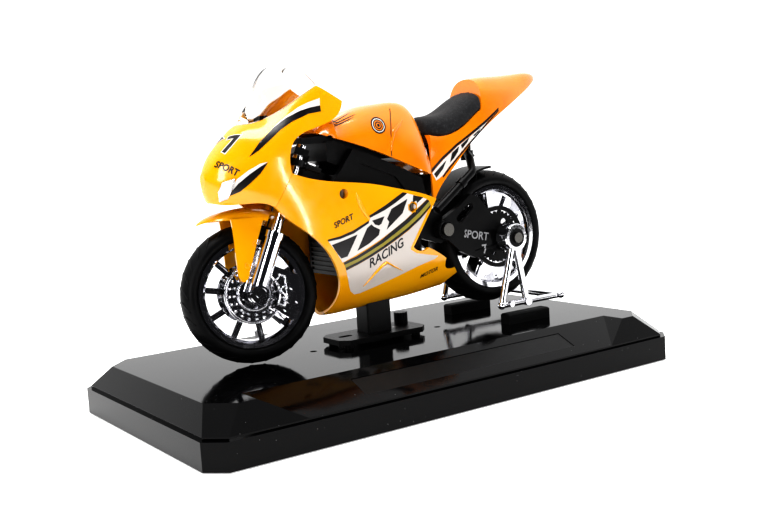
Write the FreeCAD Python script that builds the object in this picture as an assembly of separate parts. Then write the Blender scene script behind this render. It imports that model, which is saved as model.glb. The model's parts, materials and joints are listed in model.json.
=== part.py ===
"""Racing motorcycle display model, bolted to a bevelled plinth, with its rear wheel on a paddock stand.

Millimetres, +Z up. The origin is the middle of the plinth's footprint, in the plane that the plinth's feet stand on.
The motorcycle faces -X, so its left side faces -Y. It is stored with the steering turned to the right.
Body outlines are drawn in the motorcycle's own side view: x along the frame and h above BODY_Z.
"""
import FreeCAD, Part
import math
import os

V = FreeCAD.Vector
X, Y, Z = V(1, 0, 0), V(0, 1, 0), V(0, 0, 1)

# ---------------------------------------------------------------- driving dimensions
RUN_GAP = 0.08            # radial gap of a pin or shaft that turns in a hole
FIT_GAP = 0.15            # gap between separate pieces that are assembled side by side
MOVE_GAP = 0.40           # gap between pieces that pass each other when something moves

PLINTH_LENGTH = 190.0
PLINTH_WIDTH = 102.0
PLINTH_WALL = 2.0
TRAY_HEIGHT = 9.0
TRAY_CHAMFER = 5.6
FOOT_STANDOFF = 0.4       # the rubber feet hold the tray this far off the table
FOOT_RADIUS = 4.0
DECK_REVEAL = 1.2         # the deck stands in from the tray's edge by this much
DECK_SKIRT = 0.9
DECK_TOP = 17.0
DECK_BEVEL_X = 5.0
DECK_BEVEL_Y = 6.6
DECK_TOP_CHAMFER = 7.6
NAME_BEVEL_RUN = 15.8     # the wide bevel that carries the name plate
NAME_BEVEL_MARGIN = 19.5  # from the plinth's end to the top of the wide bevel's slanted end
NAME_BEVEL_SLANT = 13.0
NAME_PLATE_LENGTH = 88.0
NAME_PLATE_HEIGHT = 8.4
NAME_PLATE_THICK = 0.6

FRONT_TYRE_R = 22.8
FRONT_TYRE_WIDTH = 9.2
FRONT_RIM_R = 17.2
REAR_TYRE_R = 24.8
REAR_TYRE_WIDTH = 13.4
REAR_RIM_R = 18.7
RIM_LIP = 0.5
BEAD_SHARE = 0.76         # the tyre's bead, as a share of its width
SPOKES = 10
SPOKE_WIDTH = 2.0
AXLE_R = 1.1
HUB_R = 3.3
DISC_R = 9.8
DISC_THICK = 0.6
SPROCKET_R = 9.6
SPROCKET_TEETH = 30

FORK_RAKE = 24.0          # degrees back from upright
FORK_OFFSET = 2.4         # from the fork tubes' plane back to the steering axis
FORK_HALF_SPACING = 8.9
SLIDER_R = 2.9
STANCHION_R = 1.7
SLIDER_TOP = 20.8         # along the fork from the axle
BOTTOM_CLAMP_AT = 34.0
TOP_CLAMP_AT = 47.0
CLAMP_THICK = 2.4
STEM_R = 1.5
FORK_TRAVEL = 2.0
FORK_BORE_FLOOR = 5.0     # along the fork from the axle
STEER_REST = 14.0         # degrees to the right of straight ahead

PIVOT_R = 1.3
ARM_INNER = 9.4           # from the centre plane to the swing arm's inner face
ARM_THICK = 2.3
SPOOL_R = 3.4
STAND_RING_END = 18.0
STAND_TUBE_R = 1.1
STAND_HALF_WIDTH = 17.0

SHELL_WALL = 1.2
BODY_SCREW_R = 0.8
BODY_SCREW_HEAD_R = 1.5

# ---------------------------------------------------------------- places worked out from them
TYRE_CLEARANCE = 0.4      # the front tyre just clears the deck
FRONT_TYRE_TOP = DECK_TOP + TYRE_CLEARANCE + 2 * FRONT_TYRE_R
BODY_DROP = 46.0          # the bodywork's zero height lies this far under the top of the front tyre
BODY_Z = FRONT_TYRE_TOP - BODY_DROP
ARCH_X = -29.6            # the back of the space that the front wheel turns in
FRONT_AXLE = V(ARCH_X - MOVE_GAP - FRONT_TYRE_R, 0, DECK_TOP + TYRE_CLEARANCE + FRONT_TYRE_R)
PIVOT = V(20.4, 0, BODY_Z + 37.2)
ARM_CLEAR = 3.4           # from the pivot's centre to the rear tyre's tread
REAR_AXLE = V(PIVOT.x + REAR_TYRE_R + ARM_CLEAR, 0, BODY_Z + 31.5)

PARTS = {}


# ---------------------------------------------------------------- small helpers
def box(x0, x1, y0, y1, z0, z1):
    """A block between two corners."""
    return Part.makeBox(x1 - x0, y1 - y0, z1 - z0, V(x0, y0, z0))


def rod(start, end, radius):
    """A round bar from one point to another."""
    along = end - start
    return Part.makeCylinder(radius, along.Length, start, along)


def rod_y(x, z, y0, y1, radius):
    """A round bar across the model, from y0 to y1."""
    return rod(V(x, min(y0, y1), z), V(x, max(y0, y1), z), radius)


def ring_y(x, z, y0, y1, outer, inner):
    """A washer or sleeve across the model."""
    return rod_y(x, z, y0, y1, outer).cut(rod_y(x, z, min(y0, y1) - 1, max(y0, y1) + 1, inner))


def fused(shapes):
    """One solid out of several that touch."""
    whole = shapes[0].multiFuse(shapes[1:]) if len(shapes) > 1 else shapes[0]
    return whole.removeSplitter()


def tube_path(points, radius, bend):
    """A round tube along straight runs with rounded bends."""
    edges, at = [], points[0]
    for before, corner, after in zip(points, points[1:], points[2:]):
        into, out = (corner - before).normalize(), (after - corner).normalize()
        turn = into.getAngle(out)
        if turn < 0.02:
            continue
        reach = min(bend * math.tan(turn / 2), 0.45 * min((corner - before).Length, (after - corner).Length))
        start, stop = corner - into * reach, corner + out * reach
        middle_dir = (out - into).normalize()
        radius_here = reach / math.tan(turn / 2)
        centre = corner + middle_dir * (radius_here / math.cos(turn / 2))
        middle = centre - middle_dir * radius_here
        edges += [Part.LineSegment(at, start).toShape(), Part.Arc(start, middle, stop).toShape()]
        at = stop
    edges.append(Part.LineSegment(at, points[-1]).toShape())
    path = Part.Wire(edges)
    first = points[1] - points[0]
    section = Part.Wire([Part.makeCircle(radius, points[0], first)])
    return path.makePipeShell([section], True, True)


def curve(points):
    """A smooth curve through points, or a line through two."""
    if len(points) == 2:
        return Part.LineSegment(points[0], points[1]).toShape()
    spline = Part.BSplineCurve()
    spline.interpolate(points)
    return spline.toShape()


def side_prism(stretches, y0, y1):
    """A side-view outline, pushed across the model from y0 to y1. Each stretch is a smooth run of (x, h) points
    that starts where the one before ended, and the last one closes the outline."""
    edges, last = [], stretches[-1][-1]
    for stretch in stretches:
        points = [V(x, y0, BODY_Z + h) for x, h in [last] + list(stretch)]
        edges.append(curve(points))
        last = stretch[-1]
    return Part.Face(Part.Wire(edges)).extrude(V(0, y1 - y0, 0))


def mirrored(shape):
    """The other side's copy."""
    return shape.mirror(V(0, 0, 0), Y)


def loft(wires):
    return Part.makeLoft(wires, True, False)


def add(name, *shapes):
    """Stores one node: one or more closed solids."""
    solids = [s for shape in shapes for s in shape.Solids]
    for solid in solids:
        if not solid.isValid() or solid.Volume <= 0:
            raise ValueError(f"{name} holds a solid that is not valid")
    PARTS[name] = solids[0] if len(solids) == 1 else Part.makeCompound(solids)


# ---------------------------------------------------------------- plinth
def octagon(length, width, chamfer_x, chamfer_y, z):
    """A rectangle with its corners cut off, as a closed wire."""
    a, b = length / 2, width / 2
    corners = [(-a + chamfer_x, -b), (a - chamfer_x, -b), (a, -b + chamfer_y), (a, b - chamfer_y),
               (a - chamfer_x, b), (-a + chamfer_x, b), (-a, b - chamfer_y), (-a, -b + chamfer_y)]
    return Part.makePolygon([V(x, y, z) for x, y in corners + corners[:1]])


def octagon_prism(length, width, chamfer, z0, z1):
    return Part.Face(octagon(length, width, chamfer, chamfer, z0)).extrude(V(0, 0, z1 - z0))


def corner_places(inset_x, inset_y):
    """Four places, one in each corner of the plinth."""
    a, b = PLINTH_LENGTH / 2 - inset_x, PLINTH_WIDTH / 2 - inset_y
    return [(sx * a, sy * b) for sx in (-1, 1) for sy in (-1, 1)]


TRAY_WALL = 3.6
TRAY_FLOOR = 2.2
FOOT_HEIGHT = 1.1
FOOT_INSET = 12.0
TRAY_SCREW_INSET_X = 32.0
TRAY_SCREW_INSET_Y = 9.5
TRAY_SCREW_R = 1.1
TRAY_SCREW_GRIP = 8.4
TRAY_SCREW_HEAD_R = 2.2
TRAY_SCREW_HEAD = 1.3
TRAY_SCREW_DEPTH = 2.2    # from the tray's underside to the seat of a screw's head
BOSS_R = 4.0
NAME_FOOT_Y = -PLINTH_WIDTH / 2 + DECK_REVEAL
NAME_TILT = math.degrees(math.atan2(DECK_TOP - TRAY_HEIGHT - DECK_SKIRT, NAME_BEVEL_RUN))
MOUNT_X = -4.8            # where the post stands
POST_LENGTH, POST_WIDTH = 10.0, 8.0
MOUNT_PLATE = (-23.2, 13.6, 8.0)     # from x, to x, half width
MOUNT_PLATE_LIFT = 1.2
MOUNT_PLATE_THICK = 1.9
MOUNT_SCREW_R = 1.25
MOUNT_SCREW_HEAD_R = 2.6
PLATE_SCREW_X = 4.2
KNOB_AT = (9.8, 4.0)
KNOB_R = 2.5
SPARE_HOLE_R = 1.2
SPARE_HOLES_X = (-30.5, 23.3)


def plinth():
    floor_z = FOOT_STANDOFF + TRAY_FLOOR
    tray = octagon_prism(PLINTH_LENGTH, PLINTH_WIDTH, TRAY_CHAMFER, FOOT_STANDOFF, TRAY_HEIGHT)
    tray = tray.cut(octagon_prism(PLINTH_LENGTH - 2 * TRAY_WALL, PLINTH_WIDTH - 2 * TRAY_WALL, TRAY_CHAMFER,
                                  floor_z, TRAY_HEIGHT + 1))
    tray_bosses, deck_bosses, screws, heads, shanks = [], [], [], [], []
    head_z = FOOT_STANDOFF + TRAY_SCREW_DEPTH
    for x, y in corner_places(TRAY_SCREW_INSET_X, TRAY_SCREW_INSET_Y):
        tray_bosses.append(Part.makeCylinder(BOSS_R, TRAY_HEIGHT - floor_z, V(x, y, floor_z)))
        deck_bosses.append(Part.makeCylinder(BOSS_R - 0.8, DECK_TOP - TRAY_HEIGHT - 1, V(x, y, TRAY_HEIGHT)))
        head = Part.makeCylinder(TRAY_SCREW_HEAD_R, TRAY_SCREW_HEAD, V(x, y, head_z - TRAY_SCREW_HEAD))
        shank = Part.makeCylinder(TRAY_SCREW_R, TRAY_SCREW_GRIP, V(x, y, head_z))
        slot = box(x - 1.6, x + 1.6, y - 0.25, y + 0.25, 0, head_z - TRAY_SCREW_HEAD + 0.5)
        screws.append(fused([head, shank]).cut(slot))
        heads.append(Part.makeCylinder(TRAY_SCREW_HEAD_R + FIT_GAP, head_z, V(x, y, 0)))
        shanks.append(Part.makeCylinder(TRAY_SCREW_R + RUN_GAP, TRAY_SCREW_GRIP + FIT_GAP, V(x, y, head_z)))
    foot_places = corner_places(FOOT_INSET, FOOT_INSET)
    sockets = [Part.makeCylinder(FOOT_RADIUS + FIT_GAP, FOOT_HEIGHT, V(x, y, 0)) for x, y in foot_places]
    tray = fused([tray] + tray_bosses).cut(Part.makeCompound(heads + shanks)).cut(Part.makeCompound(sockets))
    add("plinth_tray", tray)
    add("plinth_screws", *screws)
    add("plinth_feet", *[Part.makeCylinder(FOOT_RADIUS, FOOT_HEIGHT, V(x, y, 0)) for x, y in foot_places])

    deck_l, deck_w = PLINTH_LENGTH - 2 * DECK_REVEAL, PLINTH_WIDTH - 2 * DECK_REVEAL
    skirt_z = TRAY_HEIGHT + DECK_SKIRT

    def deck_block(shrink, top_z):
        foot = octagon(deck_l - 2 * shrink, deck_w - 2 * shrink, TRAY_CHAMFER, TRAY_CHAMFER, skirt_z)
        top = octagon(deck_l - 2 * DECK_BEVEL_X - 2 * shrink, deck_w - 2 * DECK_BEVEL_Y - 2 * shrink,
                      DECK_TOP_CHAMFER, DECK_TOP_CHAMFER, top_z)
        bevels = Part.makeLoft([foot, top], True, True)
        skirt = octagon_prism(deck_l - 2 * shrink, deck_w - 2 * shrink, TRAY_CHAMFER, TRAY_HEIGHT, skirt_z)
        return bevels, skirt

    def above_wide_bevel():
        """Everything over the wide bevel: a wedge whose ends slant in as they go down."""
        wedge = Part.makePolygon([V(-200, NAME_FOOT_Y - 9, skirt_z), V(-200, NAME_FOOT_Y, skirt_z),
                                  V(-200, NAME_FOOT_Y + NAME_BEVEL_RUN, DECK_TOP),
                                  V(-200, NAME_FOOT_Y + NAME_BEVEL_RUN, DECK_TOP + 5),
                                  V(-200, NAME_FOOT_Y - 9, DECK_TOP + 5), V(-200, NAME_FOOT_Y - 9, skirt_z)])
        wedge = Part.Face(wedge).extrude(V(400, 0, 0))
        top_x = PLINTH_LENGTH / 2 - NAME_BEVEL_MARGIN
        foot_x = top_x - NAME_BEVEL_SLANT
        rise = (DECK_TOP - skirt_z)
        lean = NAME_BEVEL_SLANT / rise * 5
        ends = Part.makePolygon([V(-foot_x, -99, skirt_z), V(foot_x, -99, skirt_z), V(top_x + lean, -99, DECK_TOP + 5),
                                 V(-top_x - lean, -99, DECK_TOP + 5), V(-foot_x, -99, skirt_z)])
        return wedge.common(Part.Face(ends).extrude(V(0, 198, 0)))

    wide = above_wide_bevel()
    bevels, skirt = deck_block(0, DECK_TOP)
    outer = fused([bevels.cut(wide), skirt])
    inner_bevels, inner_skirt = deck_block(PLINTH_WALL, DECK_TOP - PLINTH_WALL)
    wide_inside = above_wide_bevel()
    wide_inside.translate(V(0, PLINTH_WALL, -PLINTH_WALL))
    hollow = [inner_bevels.cut(wide_inside), inner_skirt.fuse(octagon_prism(deck_l - 2 * PLINTH_WALL,
              deck_w - 2 * PLINTH_WALL, TRAY_CHAMFER, TRAY_HEIGHT - 1, TRAY_HEIGHT))]
    deck = outer.cut(hollow[0]).cut(hollow[1])
    deck = deck.fuse(Part.makeCompound(deck_bosses).common(outer)).removeSplitter().cut(Part.makeCompound(shanks))

    # the name plate lies in a shallow recess in the wide bevel
    slope = math.hypot(NAME_BEVEL_RUN, DECK_TOP - skirt_z)
    up_slope = (slope - NAME_PLATE_HEIGHT) / 2

    def on_bevel(length, height, low, high, up):
        plate = box(-length / 2 + 4, length / 2 + 4, up, up + height, low, high)
        plate.rotate(V(0, 0, 0), X, NAME_TILT)
        plate.translate(V(0, NAME_FOOT_Y, skirt_z))
        return plate

    deck = deck.cut(on_bevel(NAME_PLATE_LENGTH + 2 * FIT_GAP, NAME_PLATE_HEIGHT + 2 * FIT_GAP, -NAME_PLATE_THICK, 2,
                             up_slope - FIT_GAP))
    add("name_plate", on_bevel(NAME_PLATE_LENGTH, NAME_PLATE_HEIGHT, -NAME_PLATE_THICK, -0.15, up_slope))

    holes = [Part.makeCylinder(SPARE_HOLE_R, 9, V(x, 0, DECK_TOP - 5)) for x in SPARE_HOLES_X]
    holes += [Part.makeCylinder(MOUNT_SCREW_R + RUN_GAP, 9, V(x, 0, DECK_TOP - 5)) for x in (MOUNT_X, PLATE_SCREW_X)]
    for hole in holes:
        deck = deck.cut(hole)
    add("plinth_deck", deck)


def mount():
    """The post and plate that hold the motorcycle down, with their screws."""
    x0, x1, half = MOUNT_PLATE
    plate_z = DECK_TOP + MOUNT_PLATE_LIFT
    plate_top = plate_z + MOUNT_PLATE_THICK
    post_top = BODY_Z + ENGINE_FLOOR
    a, b = POST_LENGTH / 2, POST_WIDTH / 2
    post = box(MOUNT_X - a, MOUNT_X + a, -b, b, DECK_TOP, post_top)
    post = post.makeFillet(0.8, [e for e in post.Edges if abs(e.Vertexes[0].Z - e.Vertexes[1].Z) > 5])
    post = post.cut(Part.makeCylinder(MOUNT_SCREW_R + RUN_GAP, 40, V(MOUNT_X, 0, DECK_TOP - 1)))
    add("mount_post", post)
    corners = [(x0, -half + 3), (x0 + 3, -half), (x1 - 3, -half), (x1, -half + 3), (x1, half - 3), (x1 - 3, half),
               (x0 + 3, half), (x0, half - 3), (x0, -half + 3)]
    plate = Part.Face(Part.makePolygon([V(x, y, plate_z) for x, y in corners])).extrude(V(0, 0, MOUNT_PLATE_THICK))
    feet = [Part.makeCylinder(1.6, MOUNT_PLATE_LIFT, V(x, y, DECK_TOP))
            for x in (x0 + 4, x1 - 4) for y in (-half + 3, half - 3)]
    feet.append(Part.makeCylinder(2.4, MOUNT_PLATE_LIFT, V(PLATE_SCREW_X, 0, DECK_TOP)))
    plate = fused([plate] + feet)
    plate = plate.cut(box(MOUNT_X - a - FIT_GAP, MOUNT_X + a + FIT_GAP, -b - FIT_GAP, b + FIT_GAP, DECK_TOP,
                          plate_top + 1))
    slot = fused([box(x0 + 4.5, x0 + 7.5, -1.2, 1.2, DECK_TOP, plate_top + 1)]
                 + [Part.makeCylinder(1.2, 9, V(x, 0, DECK_TOP)) for x in (x0 + 4.5, x0 + 7.5)])
    plate = plate.cut(slot)
    plate = plate.cut(Part.makeCylinder(MOUNT_SCREW_R + RUN_GAP, 9, V(PLATE_SCREW_X, 0, DECK_TOP - 1)))
    add("mount_plate", plate)
    under = DECK_TOP - PLINTH_WALL
    long_screw = fused([Part.makeCylinder(MOUNT_SCREW_R, post_top - under + 5.2, V(MOUNT_X, 0, under - 1.2)),
                        Part.makeCylinder(MOUNT_SCREW_HEAD_R, 1.2, V(MOUNT_X, 0, under - 1.2))])
    short_screw = fused([Part.makeCylinder(MOUNT_SCREW_R, plate_top - under + 1.2, V(PLATE_SCREW_X, 0, under - 1.2)),
                         Part.makeCylinder(MOUNT_SCREW_HEAD_R, 1.2, V(PLATE_SCREW_X, 0, under - 1.2))])
    add("mount_screws", long_screw, short_screw)
    knob = Part.makeCylinder(KNOB_R, 4.2, V(KNOB_AT[0], KNOB_AT[1], plate_top))
    for i in range(14):
        turn = 2 * math.pi * i / 14
        at = V(KNOB_AT[0] + KNOB_R * math.cos(turn), KNOB_AT[1] + KNOB_R * math.sin(turn), plate_top + 0.8)
        knob = knob.cut(Part.makeCylinder(0.3, 9, at))
    add("mount_knob", knob)


# ---------------------------------------------------------------- wheels
def tyre_solid(radius, width, rim_radius):
    """A round-crowned tyre about the Y axis, with its bead on the rim."""
    half, bead = width / 2, width / 2 * BEAD_SHARE
    seat, lip = rim_radius - RIM_LIP, rim_radius + RIM_LIP + FIT_GAP
    wall = radius - lip
    outer = curve([V(lip, bead, 0), V(lip + wall * 0.20, half * 0.97, 0), V(lip + wall * 0.42, half * 0.97, 0),
                   V(lip + wall * 0.76, half * 0.72, 0), V(radius, 0, 0), V(lip + wall * 0.76, -half * 0.72, 0),
                   V(lip + wall * 0.42, -half * 0.97, 0), V(lip + wall * 0.20, -half * 0.97, 0), V(lip, -bead, 0)])
    bead_line = [V(lip, -bead, 0), V(seat, -bead, 0), V(seat, bead, 0), V(lip, bead, 0)]
    inside = [curve(list(pair)) for pair in zip(bead_line, bead_line[1:])]
    return Part.Face(Part.Wire([outer] + inside)).revolve(V(0, 0, 0), Y, 360)


def rim_solid(rim_radius, width):
    """A rim with channelled spokes and a bored hub, about the Y axis."""
    half = width / 2 * BEAD_SHARE
    well, lip = rim_radius - RIM_LIP - FIT_GAP, rim_radius + RIM_LIP
    profile = [(well, -half - FIT_GAP), (well, half + FIT_GAP), (lip, half + FIT_GAP), (lip, half + 0.8),
               (rim_radius - 1.1, half + 0.8), (rim_radius - 1.9, half - 0.8), (rim_radius - 1.9, -half + 0.8),
               (rim_radius - 1.1, -half - 0.8), (lip, -half - 0.8), (lip, -half - FIT_GAP), (well, -half - FIT_GAP)]
    barrel = Part.Face(Part.makePolygon([V(r, y, 0) for r, y in profile])).revolve(V(0, 0, 0), Y, 360)
    hub = rod_y(0, 0, -half, half, HUB_R)
    spokes = []
    depth = half * 0.62
    for i in range(SPOKES):
        spoke = box(HUB_R - 0.6, rim_radius - 1.4, -depth, depth, -SPOKE_WIDTH / 2, SPOKE_WIDTH / 2)
        for side in (-1, 1):
            spoke = spoke.cut(box(HUB_R + 2.2, rim_radius - 2.8, side * depth - 0.8, side * depth + 0.8,
                                  -SPOKE_WIDTH * 0.26, SPOKE_WIDTH * 0.26))
        spoke.rotate(V(0, 0, 0), Y, 360.0 * i / SPOKES + 11)
        spokes.append(spoke)
    web = ring_y(0, 0, -0.9, 0.9, HUB_R + 2.6, HUB_R - 1)
    return fused([barrel, hub, web] + spokes).cut(rod_y(0, 0, -20, 20, AXLE_R + RUN_GAP))


def disc_solid(y0, y1, radius):
    """A drilled brake disc with a spider, about the Y axis."""
    disc = ring_y(0, 0, y0, y1, radius, AXLE_R + RUN_GAP)
    for count, at, size in ((10, radius * 0.86, 0.5), (10, radius * 0.70, 0.5), (6, radius * 0.46, 1.0)):
        for i in range(count):
            turn = 2 * math.pi * (i + 0.5 * (at < radius * 0.8)) / count
            disc = disc.cut(rod_y(at * math.cos(turn), at * math.sin(turn), y0 - 1, y1 + 1, size))
    return disc


def sprocket_solid(y0, y1):
    """The rear sprocket: blunt teeth and lightening holes."""
    points = []
    for i in range(SPROCKET_TEETH * 4):
        turn = 2 * math.pi * i / (SPROCKET_TEETH * 4)
        reach = SPROCKET_R - (0.0, 0.0, 0.75, 0.75)[i % 4]
        points.append(V(reach * math.cos(turn), y0, reach * math.sin(turn)))
    plate = Part.Face(Part.makePolygon(points + points[:1])).extrude(V(0, y1 - y0, 0))
    plate = plate.cut(rod_y(0, 0, y0 - 1, y1 + 1, AXLE_R + RUN_GAP))
    for i in range(6):
        turn = 2 * math.pi * i / 6
        plate = plate.cut(rod_y(5.8 * math.cos(turn), 5.8 * math.sin(turn), y0 - 1, y1 + 1, 1.6))
    return plate


def placed(shape, at):
    copy = shape.copy()
    copy.translate(at)
    return copy


# ---------------------------------------------------------------- front end, built upright and then leaned and steered
def lean(shape):
    """From the fork's own frame (axle at the origin, tubes along +Z) to the model, steered to its rest angle."""
    copy = shape.copy()
    copy.rotate(V(0, 0, 0), Y, FORK_RAKE)
    copy.translate(FRONT_AXLE)
    return steered(copy)


def steering_axis():
    rake = math.radians(FORK_RAKE)
    along = V(math.sin(rake), 0, math.cos(rake))
    point = FRONT_AXLE + V(math.cos(rake), 0, -math.sin(rake)) * FORK_OFFSET
    return point, along


def steered(shape):
    """Turns a piece of the front end, drawn straight ahead in the model's frame, to its rest angle."""
    copy = shape.copy()
    point, along = steering_axis()
    copy.rotate(point, along, -STEER_REST)
    return copy


def both_sides(shape):
    return [shape, mirrored(shape)]


STANCHION_FOOT = FORK_BORE_FLOOR + FORK_TRAVEL + 2.5
CALIPER_INNER, CALIPER_OUTER = 7.6, 15.0
FENDER_THICK = 1.0
BAR_R = 1.05
BAR_BACK = 6.0            # from the steering axis back to the grip's end
BAR_HALF_SPAN = 9.8


def fork():
    y = -FORK_HALF_SPACING
    slider = fused([rod(V(0, y, 0), V(0, y, SLIDER_TOP), SLIDER_R), box(-2.6, 2.6, y - 2.0, y + 2.0, -3.0, 2.6),
                    rod(V(0, y, SLIDER_TOP - 2.2), V(0, y, SLIDER_TOP), SLIDER_R + 0.35)])
    slider = slider.cut(rod(V(0, y, FORK_BORE_FLOOR), V(0, y, SLIDER_TOP + 1), STANCHION_R + RUN_GAP))
    slider = slider.cut(rod_y(0, 0, -30, 30, AXLE_R + RUN_GAP))
    add("fork_slider_left", lean(slider))
    add("fork_slider_right", lean(mirrored(slider)))
    stanchion = rod(V(0, y, STANCHION_FOOT), V(0, y, TOP_CLAMP_AT + CLAMP_THICK + 1.2), STANCHION_R)
    add("fork_stanchions", *[lean(s) for s in both_sides(stanchion)])

    reach = FORK_HALF_SPACING + STANCHION_R + 0.6
    tubes = Part.makeCompound([rod(V(0, s * FORK_HALF_SPACING, 0), V(0, s * FORK_HALF_SPACING, 80), STANCHION_R + 0.02)
                               for s in (-1, 1)])

    def clamp(at, back):
        body = box(-STANCHION_R - 0.6, STANCHION_R + 0.8, -reach, reach, at, at + CLAMP_THICK)
        nose = box(0, FORK_OFFSET + back, -3.2, 3.2, at, at + CLAMP_THICK)
        return fused([body, nose]).cut(tubes)

    stem_top = TOP_CLAMP_AT + CLAMP_THICK
    stem = rod(V(FORK_OFFSET, 0, BOTTOM_CLAMP_AT + CLAMP_THICK), V(FORK_OFFSET, 0, TOP_CLAMP_AT), STEM_R)
    add("bottom_clamp", lean(clamp(BOTTOM_CLAMP_AT, 2.8)))
    add("steering_stem", lean(stem))
    add("top_clamp", lean(clamp(TOP_CLAMP_AT, 2.8)))
    hexagon = [math.radians(60 * i) for i in range(7)]
    nut = Part.makePolygon([V(FORK_OFFSET + 2 * math.cos(t), 2 * math.sin(t), stem_top) for t in hexagon])
    nut = Part.Face(nut).extrude(V(0, 0, 1.3))
    add("stem_nut", lean(nut))

    cap_in = FORK_HALF_SPACING + SLIDER_R + FIT_GAP
    cap_out, ring_out = cap_in + 1.3, cap_in + 1.8
    axle = rod_y(0, 0, -cap_out, cap_out, AXLE_R)
    cap = fused([rod_y(0, 0, -cap_out, -cap_in, 2.9), ring_y(0, 0, -ring_out, -cap_out, 2.9, 2.2),
                 rod_y(0, 0, -ring_out, -cap_out, 1.2)])
    axle_and_caps = fused([axle] + both_sides(cap))
    add("front_axle", lean(axle_and_caps))

    # calipers: fan-shaped blocks behind the sliders, outside the discs
    inner_y = FORK_HALF_SPACING - 2.2
    fan = rod_y(0, 0, -FORK_HALF_SPACING - 0.6, -inner_y, CALIPER_OUTER).cut(rod_y(0, 0, -20, 0, CALIPER_INNER))
    wedge = Part.makePolygon([V(1.0, -20, -1.2), V(18, -20, -5.5), V(18, -20, 9.5), V(2.0, -20, 10.5), V(1.0, -20, -1.2)])
    fan = fan.common(Part.Face(wedge).extrude(V(0, 30, 0)))
    fan = fan.cut(rod(V(0, y, -5), V(0, y, SLIDER_TOP), SLIDER_R + FIT_GAP))
    fan = fan.cut(box(-2.6 - FIT_GAP, 2.6 + FIT_GAP, -20, 0, -4, 2.6 + FIT_GAP))
    for r, turn in ((10.6, -18), (10.8, 22), (13.0, 2)):
        at = math.radians(turn)
        fan = fan.cut(rod_y(r * math.cos(at), r * math.sin(at), -20, -FORK_HALF_SPACING + 0.4, 1.1))
    fan = fused([fan, rod_y(11.0, 2.0, -FORK_HALF_SPACING - 1.3, -FORK_HALF_SPACING - 0.2, 1.8)])
    add("front_caliper_left", lean(fan))
    add("front_caliper_right", lean(mirrored(fan)))


# stations of the fender: x from the axle, crown height over the axle, half width, and how far its edges droop
FENDER = [(-15.0, 24.2, 0.9, 0.5), (-12.4, 25.9, 3.4, 1.5), (-8.5, 27.2, 5.8, 2.7), (-2.5, 28.1, 7.8, 4.0),
          (4.0, 27.9, 8.6, 4.5), (9.0, 26.6, 8.8, 4.4), (12.0, 25.2, 8.8, 4.2)]


def front_fender():
    """A beaked fender over the front tyre, with an ear down each fork leg."""

    def arch(x, top, half, droop, thin):
        half, droop = half - thin, droop - thin * 0.2
        right = [V(x, half, top - thin - droop), V(x, half * 0.93, top - thin - droop * 0.52),
                 V(x, half * 0.62, top - thin - droop * 0.15), V(x, 0, top - thin)]
        left = [V(p.x, -p.y, p.z) for p in right[:-1]][::-1]
        foot = [V(x, p.y, p.z - thin * 2) for p in (left[-1], right[0])]
        if thin:
            corners = [left[-1], foot[0], foot[1], right[0]]
            return Part.Wire([curve(right + left)] + [curve(list(pair)) for pair in zip(corners, corners[1:])])
        return Part.Wire([curve(right + left), curve([left[-1], right[0]])])

    outer = loft([arch(*station, 0) for station in FENDER])
    inner = loft([arch(x, top, half, droop, FENDER_THICK) for x, top, half, droop in FENDER[1:-1]]
                 + [arch(FENDER[-1][0] + 1, FENDER[-1][1] - 0.4, FENDER[-1][2], FENDER[-1][3], FENDER_THICK)])
    shell = outer.cut(inner)
    ear_y = -FENDER[-1][2] + 0.1

    def at(x, z):
        return V(x, ear_y, z)

    side = [curve([at(-5.6, 24.6), at(-5.2, 17.0), at(-5.2, 10.0), at(-5.0, 6.4)]),
            curve([at(-5.0, 6.4), at(-3.6, 4.3), at(-1.9, 5.4)]),
            curve([at(-1.9, 5.4), at(1.2, 14.0), at(5.4, 24.4)]),
            curve([at(5.4, 24.4), at(-5.6, 24.6)])]
    ear = Part.Face(Part.Wire(side)).extrude(V(0, FENDER_THICK, 0))
    fork_room = rod(V(0, -FORK_HALF_SPACING, -4), V(0, -FORK_HALF_SPACING, SLIDER_TOP + 30),
                    SLIDER_R + 0.35 + FIT_GAP)
    fork_room.rotate(V(0, 0, 0), Y, FORK_RAKE)
    fender = fused([shell] + both_sides(ear)).cut(Part.makeCompound(both_sides(fork_room)))
    biggest = max(fender.Solids, key=lambda s: s.Volume)
    add("front_fender", steered(placed(biggest, FRONT_AXLE)))


def handlebars():
    """Short clip-on bars under the top clamp."""
    y, at = -FORK_HALF_SPACING, TOP_CLAMP_AT - 2.6
    collar = rod(V(0, y, at - 1.0), V(0, y, at + 1.2), STANCHION_R + 1.0)
    start, end = V(1.0, y - 0.6, at), V(FORK_OFFSET + BAR_BACK, -BAR_HALF_SPAN, at)
    way = (end - start).normalize()
    bar = fused([collar, rod(start, end - way * 5.2, BAR_R * 0.8)])
    bar = bar.cut(rod(V(0, y, at - 9), V(0, y, at + 9), STANCHION_R + 0.02))
    grip = fused([rod(end - way * 5.2, end, BAR_R), rod(end - way * 5.2, end - way * 4.6, BAR_R + 0.3)])
    add("handlebars", *[lean(s) for s in both_sides(bar)])
    add("hand_grips", *[lean(s) for s in both_sides(grip)])


def front_wheel():
    half = FRONT_TYRE_WIDTH / 2
    add("front_tyre", steered(placed(tyre_solid(FRONT_TYRE_R, FRONT_TYRE_WIDTH, FRONT_RIM_R), FRONT_AXLE)))
    add("front_rim", steered(placed(rim_solid(FRONT_RIM_R, FRONT_TYRE_WIDTH), FRONT_AXLE)))
    disc = disc_solid(-half - 0.4 - DISC_THICK, -half - 0.4, DISC_R)
    spacer = ring_y(0, 0, -half - 0.4, -half * BEAD_SHARE - FIT_GAP, HUB_R - 0.6, AXLE_R + RUN_GAP)
    disc = fused([disc, spacer])
    add("front_discs", *[steered(placed(d, FRONT_AXLE)) for d in both_sides(disc)])


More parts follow.
